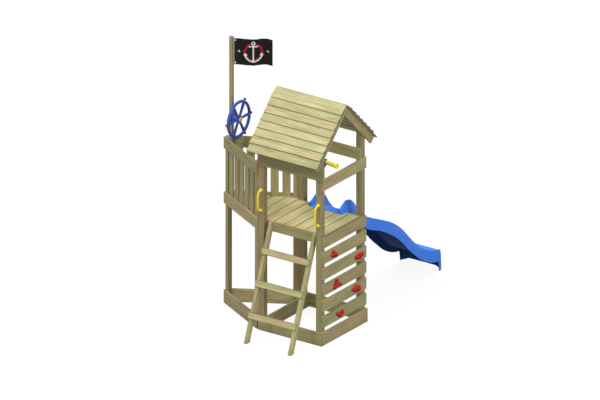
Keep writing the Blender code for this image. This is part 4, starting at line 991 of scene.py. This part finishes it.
def slide_half(share):
    """Half of the slide's section, from the middle of the bed to the skirt's edge."""
    bed = SLIDE_BED * smooth(BED, share)
    opened = min(1.0, 0.02 + share / SLIDE_FRONT)
    rise = smooth(RISE, share) * math.sin(math.radians(90) * opened)
    flat = smooth(BED_HALF, share)
    crest = smooth(CREST_HALF, share)
    outer = smooth(EDGE_HALF, share)
    edge = bed - SLIDE_WALL + SKIRT_LIFT - smooth(SKIRT, share)
    shoulder = bed + 0.90 * rise
    return [
        (0.0, bed),
        (flat * 0.5, bed),
        (flat - 0.020, bed + 0.02 * rise),
        (flat, bed + 0.16 * rise),
        (flat + 0.5 * (crest - flat), bed + 0.62 * rise),
        (crest - 0.25 * (crest - flat), bed + 0.94 * rise),
        (crest, bed + rise),
        (crest + 0.25 * (outer - crest), shoulder),
        (crest + 0.7 * (outer - crest), shoulder + 0.45 * (edge - shoulder)),
        (outer, edge),
    ]


def spline(p, q, r, s, t):
    """A value between q and r, with p before them and s after."""
    second = (2 * p - 5 * q + 4 * r - s) * t**2
    third = (3 * q - p - 3 * r + s) * t**3
    return 0.5 * (2 * q + (r - p) * t + second + third)


def rounded(points, steps):
    """A curve through points, with steps to each span."""
    made = []
    for i in range(len(points) - 1):
        a = points[max(i - 1, 0)]
        b, c = points[i], points[i + 1]
        d = points[min(i + 2, len(points) - 1)]
        for j in range(steps):
            made.append(tuple(spline(*four, j / steps) for four in zip(a, b, c, d)))
    made.append(points[-1])
    return made


def make_slide():
    """A moulded shell with rounded crests, flared skirts with a rolled edge, and a rolled toe."""
    foot_share = SLIDE_FOOT / SLIDE_RUN
    last_even = 1.0 - 1.5 * foot_share
    shares = [SLIDE_FRONT * i / SLIDE_FRONT_ROWS for i in range(SLIDE_FRONT_ROWS)]
    shares += [SLIDE_FRONT + (last_even - SLIDE_FRONT) * i / SLIDE_ROWS for i in range(SLIDE_ROWS + 1)]
    shares += [1.0 - foot_share, 1.0 - 0.5 * foot_share, 1.0]
    shape = bmesh.new()
    rows = []
    edges = {-1: [], 1: []}
    for share in shares:
        half = slide_half(share)
        if share >= 1.0 - foot_share:
            half[-1] = (half[-1][0], GAP)
        full = rounded([(-x, z) for x, z in reversed(half[1:])] + half, SLIDE_STEPS)
        y = SLIDE_MOUTH + share * SLIDE_RUN
        rows.append([shape.verts.new((SLIDE_X + x, y, z)) for x, z in full])
        for side in (-1, 1):
            edges[side].append(Vector((SLIDE_X + side * half[-1][0], y, half[-1][1])))
    top = rows[-1]
    corner = abs(top[0].co.x - SLIDE_X)
    for k in range(1, SLIDE_TOE_ROWS + 1):
        turn = k / SLIDE_TOE_ROWS
        row = []
        for vert in top:
            x, y, z = vert.co
            room = corner - abs(x - SLIDE_X)
            inwards = min(max((room - SLIDE_FOOT_WIDTH) / SLIDE_FOOT_TAPER, 0.0), 1.0)
            ahead = SLIDE_NOSE * min(1.0, 0.4 + room / SLIDE_FOOT_TAPER) * min(1.0, room / 0.02)
            low = min(GAP + (SLIDE_LIP - GAP) * inwards, z)
            bulge = ahead * math.sin(math.radians(130) * turn) * 1.05
            row.append(shape.verts.new((x, y + bulge, z + (low - z) * turn**1.4)))
        rows.append(row)
    for a, b in zip(rows, rows[1:]):
        for j in range(len(a) - 1):
            shape.faces.new((a[j], a[j + 1], b[j + 1], b[j]))
    bmesh.ops.remove_doubles(shape, verts=shape.verts, dist=0.0002)
    sheet = mesh_of("slide_shell", shape, 60)
    for finish_ in (SLIDE_BLUE, SLIDE_UNDER_SHADE):
        sheet.materials.append(finish_)
    slide = placed("slide_shell", sheet)
    wall = slide.modifiers.new("wall", "SOLIDIFY")
    wall.thickness = SLIDE_WALL
    wall.offset = -1.0
    # The offset faces, on the underside, take the second finish, which is painted shade.
    wall.material_offset = 1
    data = smoothed(applied(slide), 50)
    sides = [face.material_index for face in data.polygons]
    piece("slide_shell", data, SLIDE_BLUE, "slide")
    data.materials.append(SLIDE_UNDER_SHADE)
    for face, index in zip(data.polygons, sides):
        face.material_index = index

    shape = bmesh.new()
    for side in (-1, 1):
        path = [spot for spot in edges[side][:-2] if spot.y > CY + HALF - 0.04]
        sweep(shape, path, [BEAD_RADIUS] * len(path), 10)
    solid("slide_edge_bead", shape, SLIDE_BLUE)

    shape = bmesh.new()
    for side in (-1, 1):
        spot = (SLIDE_X + side * SLIDE_BOLT_ASIDE, SLIDE_MOUTH + SLIDE_BOLT_IN, SLIDE_BED)
        bolt_head(shape, spot, Z, 0.0065, 0.004, 0.011)
    solid("slide_bolts", shape, STEEL)


# Ship's wheel

WHEEL_CENTRE = middle_of("steering_wheel")
MAST_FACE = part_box("mast")[1].x
RING_RADIUS = 0.230
RING_TUBE = 0.0205
RING_SIDES = 72
HUB_RADIUS = 0.036
HUB_HALF = 0.022
HUB_ROUND = 0.003
AXLE_RADIUS = 0.006
TURN_CLEARANCE = 0.0008
BORE_CLEARANCE = 0.0005
BRACKET_SCREWS = 0.0625  # from the axle's line
SPOKES = 6


def make_wheel():
    """Turned spokes and knobs fused with a ring and a hub, the yellow cap, and the bell on the mast."""
    shape = bmesh.new()
    around = [
        WHEEL_CENTRE + Vector((0, math.cos(a), math.sin(a))) * RING_RADIUS
        for a in (math.tau * i / RING_SIDES for i in range(RING_SIDES + 1))
    ]
    sweep(shape, around, [RING_TUBE] * len(around), 16)
    spoke = [
        (0.0, 0.0), (0.0185, 0.0), (0.0175, 0.045), (0.0165, 0.075), (0.0180, 0.13), (0.0200, 0.185),
        (0.0200, 0.222), (0.0150, 0.247), (0.0130, 0.251), (0.0170, 0.257), (0.0200, 0.264),
        (0.0185, 0.273), (0.0110, 0.279), (0.0, 0.281),
    ]
    for i in range(SPOKES):
        angle = math.tau * i / SPOKES
        spin(shape, spoke, WHEEL_CENTRE, (0.0, math.cos(angle), math.sin(angle)), 20)
    flat = HUB_RADIUS - HUB_ROUND
    straight = HUB_HALF - HUB_ROUND
    hub = [
        (0.0, -HUB_HALF), (flat, -HUB_HALF), (HUB_RADIUS, -straight), (HUB_RADIUS, straight),
        (flat, HUB_HALF), (0.0, HUB_HALF),
    ]
    spin(shape, hub, WHEEL_CENTRE, X, 40)
    data = moulded("wheel_skin", shape, 0.0026, 4)
    data = drilled(data, WHEEL_CENTRE, X, AXLE_RADIUS + TURN_CLEARANCE, 4 * HUB_HALF)
    piece("wheel_skin", data, WHEEL_BLUE, "steering_wheel", "wheel")

    shape = bmesh.new()
    cap = [
        (0.0260, GAP), (0.0300, GAP), (0.0300, 0.010), (0.0285, 0.0145), (0.0245, 0.0175),
        (0.0190, 0.0185), (0.0185, 0.0178), (0.0165, 0.0178), (0.0160, 0.0192), (0.0, 0.0200),
        (0.0, 0.0150), (0.0260, 0.0095),
    ]
    spin(shape, cap, WHEEL_CENTRE + X * HUB_HALF, X, 40)
    solid("wheel_cap_dome", shape, YELLOW, "wheel_cap", "wheel")

    shape = bmesh.new()
    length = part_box("wheel_bracket")[1].x - MAST_FACE
    snug = AXLE_RADIUS + BORE_CLEARANCE
    bracket = [
        (snug, GAP), (0.0700, GAP), (0.0720, 0.002), (0.0720, 0.010), (0.0705, 0.012), (0.0585, 0.0125),
        (0.0500, 0.019), (0.0390, 0.036), (0.0320, 0.048), (0.0300, 0.056), (0.0300, length - 0.002),
        (0.0285, length), (snug, length),
    ]
    spot = Vector((MAST_FACE, WHEEL_CENTRE.y, WHEEL_CENTRE.z))
    spin(shape, bracket, spot, X, 48, closed=True)
    solid("wheel_bracket_bell", shape, WHEEL_BLUE, "wheel_bracket")
    shape = bmesh.new()
    head = ((0.0, 0.0115), (0.0050, 0.0125), (0.0042, 0.0150), (0.0, 0.0155))
    for height in (-BRACKET_SCREWS, BRACKET_SCREWS):
        spin(shape, head, spot + Z * height, X, 16)
    solid("wheel_bracket_screws", shape, STEEL)


# Telescope

SCOPE_BASE = middle_of("telescope_base")
SCOPE_BASE.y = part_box("telescope_base")[0].y - GAP
SCOPE_STANDOFF = 0.070
SCOPE_PITCH = math.radians(5.0)
SCOPE_AXIS = Vector((math.cos(SCOPE_PITCH), 0, -math.sin(SCOPE_PITCH)))
SCOPE_REAR = 0.135
SCOPE_FRONT = 0.184
SCOPE_TUBE = 0.027
SCOPE_BORE = 0.023
SCOPE_PIN_HOLE = 0.0058
SCOPE_GROOVES = (0.118, 0.106, -0.070, -0.082)  # along the tube from its pivot
GROOVE_RADIUS = SCOPE_TUBE - 0.0012
PLATE_SCREWS = 0.043  # from the stud to each screw


def make_telescope():
    """A grooved tube that flares at its front, and the plate that it is held by."""
    pivot = SCOPE_BASE + Y * SCOPE_STANDOFF
    profile = [
        (SCOPE_BORE, SCOPE_FRONT - 0.006), (SCOPE_BORE + 0.002, SCOPE_FRONT), (0.0318, SCOPE_FRONT),
        (0.0335, SCOPE_FRONT - 0.002), (0.0335, SCOPE_FRONT - 0.0145), (0.0320, SCOPE_FRONT - 0.0175),
        (0.0285, SCOPE_FRONT - 0.0220), (SCOPE_TUBE, SCOPE_FRONT - 0.0300),
    ]
    for start in SCOPE_GROOVES:
        profile += [
            (SCOPE_TUBE, start), (GROOVE_RADIUS, start - 0.0015), (GROOVE_RADIUS, start - 0.0045),
            (SCOPE_TUBE, start - 0.006),
        ]
    profile += [
        (SCOPE_TUBE, 0.0165 - SCOPE_REAR), (0.0290, 0.0145 - SCOPE_REAR), (0.0300, 0.0125 - SCOPE_REAR),
        (0.0300, 0.002 - SCOPE_REAR), (0.0285, -SCOPE_REAR), (SCOPE_BORE, -SCOPE_REAR),
        (SCOPE_BORE, 0.012 - SCOPE_REAR),
    ]
    shape = bmesh.new()
    spin(shape, profile[::-1], pivot, SCOPE_AXIS, 48, closed=True)
    pin_way = Vector((math.sin(SCOPE_PITCH), 0, math.cos(SCOPE_PITCH)))
    data = drilled(mesh_of("telescope_barrel", shape), pivot, pin_way, SCOPE_PIN_HOLE, 0.12)
    piece("telescope_barrel", data, YELLOW, "telescope_tube", "telescope_barrel")

    shape = bmesh.new()
    plate = [
        (0.0108, GAP), (0.0565, GAP), (0.0570, 0.001), (0.0570, 0.0070), (0.0545, 0.0105),
        (0.0500, 0.0115), (0.0300, 0.0115), (0.0290, 0.0120), (0.0108, 0.0120),
    ]
    spin(shape, plate, SCOPE_BASE, Y, 48, closed=True)
    solid("telescope_plate", shape, WHEEL_BLUE, "telescope_base")
    shape = bmesh.new()
    head = ((0.0, 0.0105), (0.0045, 0.0115), (0.0036, 0.0135), (0.0, 0.0140))
    for angle in (45, 135, 225, 315):
        way = Vector((math.cos(math.radians(angle)), 0, math.sin(math.radians(angle))))
        spin(shape, head, SCOPE_BASE + way * PLATE_SCREWS, Y, 14)
    solid("telescope_plate_screws", shape, STEEL)


# Handles

HANDLE_BAR = 0.013
HANDLE_GRIP = 0.063  # up and down from the middle, as far as the bar is thicker
HANDLE_SWELL = 1.06
HANDLE_FOOT = 0.022  # from a foot's middle to the handle's end
HANDLE_STRAIGHT = 0.0475
HANDLE_STANDOFF = 0.075
HANDLE_NECK = 0.020
HANDLE_BENDS = 8


def make_handle(side):
    """A bent grab bar with a thicker grip, whose ends swell into round feet."""
    low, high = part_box("handle_" + side)
    x = (low.x + high.x) / 2
    face = high.y
    middle = (low.z + high.z) / 2
    reach = (high.z - low.z) / 2 - HANDLE_FOOT
    stations = [(HANDLE_NECK / 2, reach), (HANDLE_NECK, reach)]
    for i in range(1, HANDLE_BENDS + 1):
        angle = math.radians(90) * i / HANDLE_BENDS
        stations.append((
            HANDLE_NECK + (HANDLE_STANDOFF - HANDLE_NECK) * math.sin(angle),
            HANDLE_STRAIGHT + (reach - HANDLE_STRAIGHT) * math.cos(angle),
        ))
    path = stations + [(out, -height) for out, height in reversed(stations)]
    shape = bmesh.new()
    spots = [Vector((x, face - out, middle + height)) for out, height in path]
    radii = [HANDLE_BAR * (1.0 if abs(height) > HANDLE_GRIP else HANDLE_SWELL) for out, height in path]
    sweep(shape, spots, radii, 18)
    foot = [
        (0.0, 0.0), (0.0215, 0.0), (0.0225, 0.003), (0.0225, 0.009), (0.0205, 0.016), (0.0165, 0.024),
        (0.0100, 0.028), (0.0, 0.029),
    ]
    for height in (-reach, reach):
        spin(shape, foot, (x, face, middle + height), -Y, 28)
    data = moulded("handle_bar_" + side, shape, 0.0022, 5)
    piece("handle_bar_" + side, data, YELLOW, "handle_" + side)


# Climbing holds. Each lump is (sideways, up, out, its three half sizes, its turn in degrees)

LUMPS = {
    "hold_upper_front": (
        (0.004, -0.012, 0.010, 0.052, 0.032, 0.022, -15), (0.002, 0.006, 0.018, 0.030, 0.034, 0.022, 0),
        (-0.004, 0.036, 0.016, 0.016, 0.018, 0.016, 0), (0.040, -0.022, 0.018, 0.022, 0.020, 0.022, 0),
        (-0.036, -0.004, 0.008, 0.022, 0.018, 0.014, 0), (0.016, -0.006, 0.024, 0.022, 0.024, 0.018, -20),
    ),
    "hold_upper_back": (
        (-0.004, 0.0, 0.008, 0.064, 0.030, 0.022, 4), (0.040, 0.010, 0.018, 0.030, 0.024, 0.024, 20),
        (-0.038, 0.002, 0.010, 0.030, 0.026, 0.018, 0), (0.010, -0.008, 0.020, 0.034, 0.022, 0.020, 0),
        (-0.010, 0.018, 0.016, 0.016, 0.016, 0.018, 0),
    ),
    "hold_middle_front": (
        (-0.004, 0.006, 0.014, 0.020, 0.048, 0.024, -20), (0.004, 0.048, 0.018, 0.017, 0.017, 0.020, 0),
        (-0.026, -0.040, 0.012, 0.018, 0.026, 0.020, -25), (0.046, -0.020, 0.020, 0.022, 0.024, 0.024, 20),
        (0.018, -0.012, 0.018, 0.030, 0.018, 0.020, -15), (-0.010, -0.010, 0.028, 0.010, 0.032, 0.016, -20),
    ),
    "hold_lower_back": (
        (0.004, 0.0, 0.010, 0.066, 0.040, 0.030, -6), (0.026, 0.006, 0.026, 0.042, 0.034, 0.028, -6),
        (-0.052, 0.010, 0.008, 0.026, 0.018, 0.016, 10), (0.030, -0.026, 0.010, 0.036, 0.022, 0.022, 0),
        (-0.010, 0.020, 0.024, 0.024, 0.020, 0.018, 20),
    ),
    "hold_lower_front": (
        (-0.036, 0.012, 0.012, 0.028, 0.022, 0.022, 0), (0.006, -0.014, 0.014, 0.040, 0.024, 0.024, 0),
        (0.044, 0.008, 0.016, 0.022, 0.022, 0.020, 20), (0.050, 0.022, 0.014, 0.014, 0.014, 0.016, 0),
        (-0.012, -0.002, 0.018, 0.024, 0.016, 0.016, -20),
    ),
}


HOLD_SWELL = (0.003, 0.005, 0.003)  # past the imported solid, on each side
HOLD_SEAT = 0.018  # from the board to the bolt's seat
HOLD_HOLE = 0.0095
HOLD_HOLE_LENGTH = 0.10


def make_hold(name, lumps):
    """Lumps fused into a grip, flat at the back, with a rough moulded skin and its bolt."""
    low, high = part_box(name)
    centre = middle_of(name)
    centre.x = low.x
    shape = bmesh.new()
    for side, up, out, half_y, half_z, half_x, turn in lumps:
        tilt = Matrix.Rotation(math.radians(turn), 4, "X")
        ball(shape, centre + Vector((out, side, up)), (half_x, half_y, half_z), tilt)
    data = moulded(name + "_grip", shape, 0.0026, 6)
    for vert in data.vertices:
        ripple = noise.noise(vert.co * 60.0) * 0.0032 + noise.noise(vert.co * 160.0) * 0.0009
        vert.co += vert.normal * ripple
        vert.co.x = max(vert.co.x, low.x)
    near = Vector(min(vert.co[i] for vert in data.vertices) for i in range(3))
    far = Vector(max(vert.co[i] for vert in data.vertices) for i in range(3))
    for vert in data.vertices:
        for i in range(3):
            share = (vert.co[i] - near[i]) / (far[i] - near[i])
            vert.co[i] = low[i] - HOLD_SWELL[i] + share * (high[i] - low[i] + 2 * HOLD_SWELL[i])
        vert.co.x = max(vert.co.x, low.x)
    data.update()
    data = drilled(data, centre + X * (HOLD_SEAT + HOLD_HOLE_LENGTH / 2), X, HOLD_HOLE, HOLD_HOLE_LENGTH)
    piece(name + "_grip", data, RED, name)
    shape = bmesh.new()
    head = [
        (0.0, 0.0), (0.0086, 0.0), (0.0086, 0.0016), (0.0068, 0.0018), (0.0068, 0.0070),
        (0.0062, 0.0078), (0.0036, 0.0078), (0.0034, 0.0030), (0.0, 0.0030),
    ]
    spin(shape, head, centre + X * (HOLD_SEAT + 0.0002), X, 18)
    solid(name + "_bolt", shape, STEEL)


# Flag

MAST_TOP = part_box("mast")[1].z
MAST_SIDE = 0.045
FLAG_LENGTH = 0.486
FLAG_HEIGHT = 0.356
FLAG_ANGLE = math.radians(29.0)
FLAG_WAVE = (
    (0.0, 0.0), (0.08, 0.0), (0.35, -0.017), (0.50, -0.020), (0.70, 0.020), (0.82, 0.032), (1.0, -0.012),
)
FLAG_COLUMNS = 120
FLAG_ROWS = 84
EYELET_INSET = 0.014
EYELET_END = 0.026
HEM = 0.011
FLAG_MARK = 1.22  # how large the printed marks are
FLAG_DROP = 0.022  # from the mast's top to the cloth's
FLAG_CLEARANCE = 0.006  # from the mast's face to the hoist edge
CLOTH_T = 0.0009
EYELET_HOLE = 0.0046
GAUGE_HEIGHT = 0.18  # where the cloth's wave is sampled along its length
GAUGE_STEPS = 400


def flag_wave(along, up):
    """Sideways place of the cloth: the main folds, and small ones that fan from the eyelets."""
    share = along / FLAG_LENGTH
    fade = min(share / 0.15, 1.0)
    pull = 0.0022 * math.sin(34 * share + 9 * up / FLAG_HEIGHT) * fade
    ripple = 0.0016 * math.sin(61 * share - 14 * up / FLAG_HEIGHT + 1.3) * fade
    lean = 0.006 * share * (up / FLAG_HEIGHT) * math.sin(5 * share + 0.6)
    return smooth(FLAG_WAVE, share) + pull + ripple + lean


def ring_mark(x, y, radius, half, soft):
    return (hypot(x, y) - radius).size().under(half, soft)


def cloth_finish():
    """Black woven, hemmed cloth with a white anchor over a red ring of rope, between two stars."""
    made, tree, shader = finish("flag_cloth", Specular_IOR_Level=0.2)
    flat = own(tree, "flat", kind="GEOMETRY")
    u, v = (part_of(tree, flat, axis) for axis in "XY")
    x = (u - FLAG_LENGTH * 0.50) / FLAG_MARK
    y = (v - FLAG_HEIGHT * 0.49) / FLAG_MARK
    soft = 0.0007

    twist = (y.math("ARCTAN2", x) * 5.0 + hypot(x, y) * 140.0).math("SINE")
    rope = ring_mark(x, y, 0.088, 0.0125, soft)
    shank = x.size().under(0.0075, soft) * y.between(-0.094, 0.088, soft)
    stock = (y - 0.066).size().fall(0.0062, 0.0076) * x.size().fall(0.046, 0.0475)
    eye = ring_mark(x, y - 0.103, 0.0155, 0.0055, soft)
    arms = ring_mark(x, y + 0.012, 0.088, 0.0085, soft) * (y + 0.040).fall(-soft, soft)
    side = x.size() - 0.082
    fluke = (side.size() * 1.25 + (y + 0.032).size()).fall(0.0245, 0.026)
    fluke = fluke * (y + 0.030).step(-0.030, -0.028)
    aside = x.size() - 0.148
    star = (aside.size().math("SQRT") + (y - 0.006).size().math("SQRT")).fall(0.155, 0.162)
    marks = shank.most(stock).most(eye).most(arms).most(fluke).most(star)

    warp = (u * 5200.0).math("SINE")
    weft = (v * 5200.0).math("SINE")
    weave = warp * weft * 0.5 + 0.5
    fade = noise_at(tree, flat, 14.0, 3.0)
    edge = u.least((u * -1.0) + FLAG_LENGTH).least(v).least((v * -1.0) + FLAG_HEIGHT)
    stitch = (edge - HEM).size().fall(0.0004, 0.0009)
    stitch = stitch * ((u + v) * 260.0).fract().step(0.30, 0.36)
    ground = blend(tree, fade * 0.6 + weave * 0.4, (0.004, 0.004, 0.005), (0.013, 0.013, 0.014))
    red = blend(tree, twist.step(0.55, 0.80), (0.50, 0.016, 0.025), (0.16, 0.004, 0.008))
    colour = blend(tree, rope, ground, red)
    colour = blend(tree, marks, colour, (0.72, 0.72, 0.70))
    colour = blend(tree, stitch * 0.5, colour, (0.07, 0.07, 0.075))
    height = weave + edge.under(HEM, 0.001) * 2.0 + stitch * 2.0
    wire(tree, shader, colour, fade * 0.15 + 0.70, height, 0.0002, 0.6)
    return made


def make_flag():
    """Cloth that hangs from two eyelets at the mast."""
    hoist = (MAST_SIDE / 2 + FLAG_CLEARANCE) / math.cos(FLAG_ANGLE)
    run = Vector((math.cos(FLAG_ANGLE), math.sin(FLAG_ANGLE), 0))
    face = Vector((-math.sin(FLAG_ANGLE), math.cos(FLAG_ANGLE), 0))
    start = Vector((middle_of("mast").x, CY, MAST_TOP - FLAG_DROP)) + run * hoist

    def cloth_point(along, up):
        return start + run * along + face * flag_wave(along, up) + Z * (up - FLAG_HEIGHT)

    eyelets = [
        Vector((EYELET_INSET, FLAG_HEIGHT - EYELET_END, 0)), Vector((EYELET_INSET, EYELET_END, 0)),
    ]
    shape = bmesh.new()
    flats = []
    grid = []
    for i in range(FLAG_COLUMNS + 1):
        line = []
        for j in range(FLAG_ROWS + 1):
            along = FLAG_LENGTH * i / FLAG_COLUMNS
            up = FLAG_HEIGHT * j / FLAG_ROWS
            line.append(shape.verts.new(cloth_point(along, up)))
            flats.append((along, up, 0.0))
        grid.append(line)
    for a, b in zip(grid, grid[1:]):
        for j in range(FLAG_ROWS):
            shape.faces.new((a[j], b[j], b[j + 1], a[j + 1]))
    layer = shape.verts.layers.float_vector.new("flat")
    for vert, flat in zip(shape.verts, flats):
        vert[layer] = flat
    holes = [
        vert for vert, flat in zip(shape.verts, flats)
        if any((Vector(flat) - spot).length < EYELET_HOLE for spot in eyelets)
    ]
    bmesh.ops.delete(shape, geom=holes, context="VERTS")
    data = plain_mesh("flag_cloth_sheet", shape)
    data.shade_smooth()
    flag = piece("flag_cloth_sheet", data, cloth_finish(), "flag")
    weight = flag.modifiers.new("cloth", "SOLIDIFY")
    weight.thickness = CLOTH_T
    weight.offset = 0.0

    shape = bmesh.new()
    grommet = (
        (0.0042, -0.0010), (0.0075, -0.0012), (0.0098, -0.0005), (0.0098, 0.0005),
        (0.0075, 0.0012), (0.0042, 0.0010),
    )
    for spot in eyelets:
        spin(shape, grommet, cloth_point(spot.x, spot.y), face, 28, closed=True)
    rings = solid("flag_eyelets", shape, EYELET)
    alongs = [FLAG_LENGTH * i / GAUGE_STEPS for i in range(GAUGE_STEPS + 1)]
    line = [(along, flag_wave(along, GAUGE_HEIGHT)) for along in alongs]


MAST_BOLTS = (0.120, 0.560)  # below the bow rails' top


def finish_small_parts():
    """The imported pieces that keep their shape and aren't timber, and the mast's bolts."""
    for name, finish_ in (
        ("wheel_axle", STEEL), ("flag_hook_upper", STEEL), ("flag_hook_lower", STEEL),
        ("telescope_yoke", WHEEL_BLUE),
    ):
        refinish(nodes[name], finish_)
    shape = bmesh.new()
    for drop in MAST_BOLTS:
        bolt_head(shape, (MAST_FACE, CY, BOW_RAIL_TOP - drop), X)
    solid("mast_bolts", shape, STEEL)


# Studio

WORLD_LEVEL = 0.40
FLOOR_GLOW = 0.79
FLOOR_GREY = (0.20, 0.20, 0.20, 1.0)
FLOOR_HALF = 60.0
FLOOR_LEVEL = -0.0005  # a hair under the feet
CAMERA_DISTANCE = 20.0


def towards(azimuth, elevation):
    """The direction at an angle round from -Y towards +X, and an angle up from level."""
    level = math.cos(elevation)
    return Vector((math.sin(azimuth) * level, -math.cos(azimuth) * level, math.sin(elevation)))


def make_camera():
    """An orthographic camera on the photograph's side, with the corner at its pixel."""
    right = Vector((math.cos(AZIMUTH), math.sin(AZIMUTH), 0))
    back = towards(AZIMUTH, ELEVATION)
    up = back.cross(right)
    corner = Vector((corner_high.x, corner_low.y, 0))
    aside = (IMAGE[0] / 2 - CORNER_PIXEL[0]) / PIXELS_PER_METRE
    above = (CORNER_PIXEL[1] - IMAGE[1] / 2) / PIXELS_PER_METRE
    camera = placed("camera", bpy.data.cameras.new("camera"))
    camera.data.type = "ORTHO"
    camera.data.ortho_scale = IMAGE[0] / PIXELS_PER_METRE
    camera.data.clip_end = 100.0
    camera.location = corner + right * aside + up * above + back * CAMERA_DISTANCE
    camera.rotation_euler = back.to_track_quat("Z", "Y").to_euler()
    bpy.context.scene.camera = camera


def sun(name, azimuth, elevation, strength, spread, shadow=True):
    """A distant lamp that shines from a direction in degrees."""
    lamp = placed(name, bpy.data.lights.new(name, "SUN"))
    source = towards(math.radians(azimuth), math.radians(elevation))
    lamp.rotation_euler = source.to_track_quat("Z", "Y").to_euler()
    lamp.data.energy = strength
    lamp.data.angle = math.radians(spread)
    lamp.data.use_shadow = shadow


def make_studio():
    """A white floor and sky to the camera, with the object's soft shadow on the floor."""
    shape = bmesh.new()
    bmesh.ops.create_grid(shape, x_segments=1, y_segments=1, size=FLOOR_HALF)
    floor = placed("floor", plain_mesh("floor", shape))
    floor.location.z = FLOOR_LEVEL
    made, tree, shader = finish("studio_floor", Roughness=0.9)
    shader.inputs["Base Color"].default_value = FLOOR_GREY
    seen = node(tree, "LightPath", (), "Is Camera Ray")
    mirrored = node(tree, "LightPath", (), "Is Glossy Ray")
    through = node(tree, "LightPath", (), "Is Transmission Ray")
    strength = seen.most(mirrored).most(through) * FLOOR_GLOW
    glow = node(tree, "Emission", ((*WHITE, 1.0), strength), "Emission")
    both = node(tree, "AddShader", (Formula(tree, shader.outputs["BSDF"]), glow), "Shader")
    tree.links.new(both.socket, tree.nodes["Material Output"].inputs["Surface"])
    floor.data.materials.append(made)

    world = bpy.data.worlds.new("studio")
    bpy.context.scene.world = world
    world.use_nodes = True
    tree = world.node_tree
    seen = node(tree, "LightPath", (), "Is Camera Ray")
    through = node(tree, "LightPath", (), "Is Transmission Ray")
    level = seen.most(through) * (1.0 - WORLD_LEVEL) + WORLD_LEVEL
    background = tree.nodes["Background"]
    background.inputs["Color"].default_value = (*WHITE, 1.0)
    tree.links.new(level.socket, background.inputs["Strength"])

    sun("key", -10.0, 54.0, 1.12, 10.0)
    sun("side", 78.0, 22.0, 0.92, 25.0)
    sun("top_fill", 0.0, 88.0, 1.45, 20.0, shadow=False)
    sun("front_fill", 30.0, 15.0, 0.36, 20.0, shadow=False)
    bpy.context.scene.view_settings.view_transform = "Standard"


make_camera()
make_studio()
grain_cad_timber()
lay_deck()
lay_bow_deck()
hang_bow_railings()
lay_roof()
collect_screws()
drive_screws()
finish_small_parts()
make_slide()
make_wheel()
make_telescope()
for side in ("left", "right"):
    make_handle(side)
for name, lumps in LUMPS.items():
    make_hold(name, lumps)
make_flag()
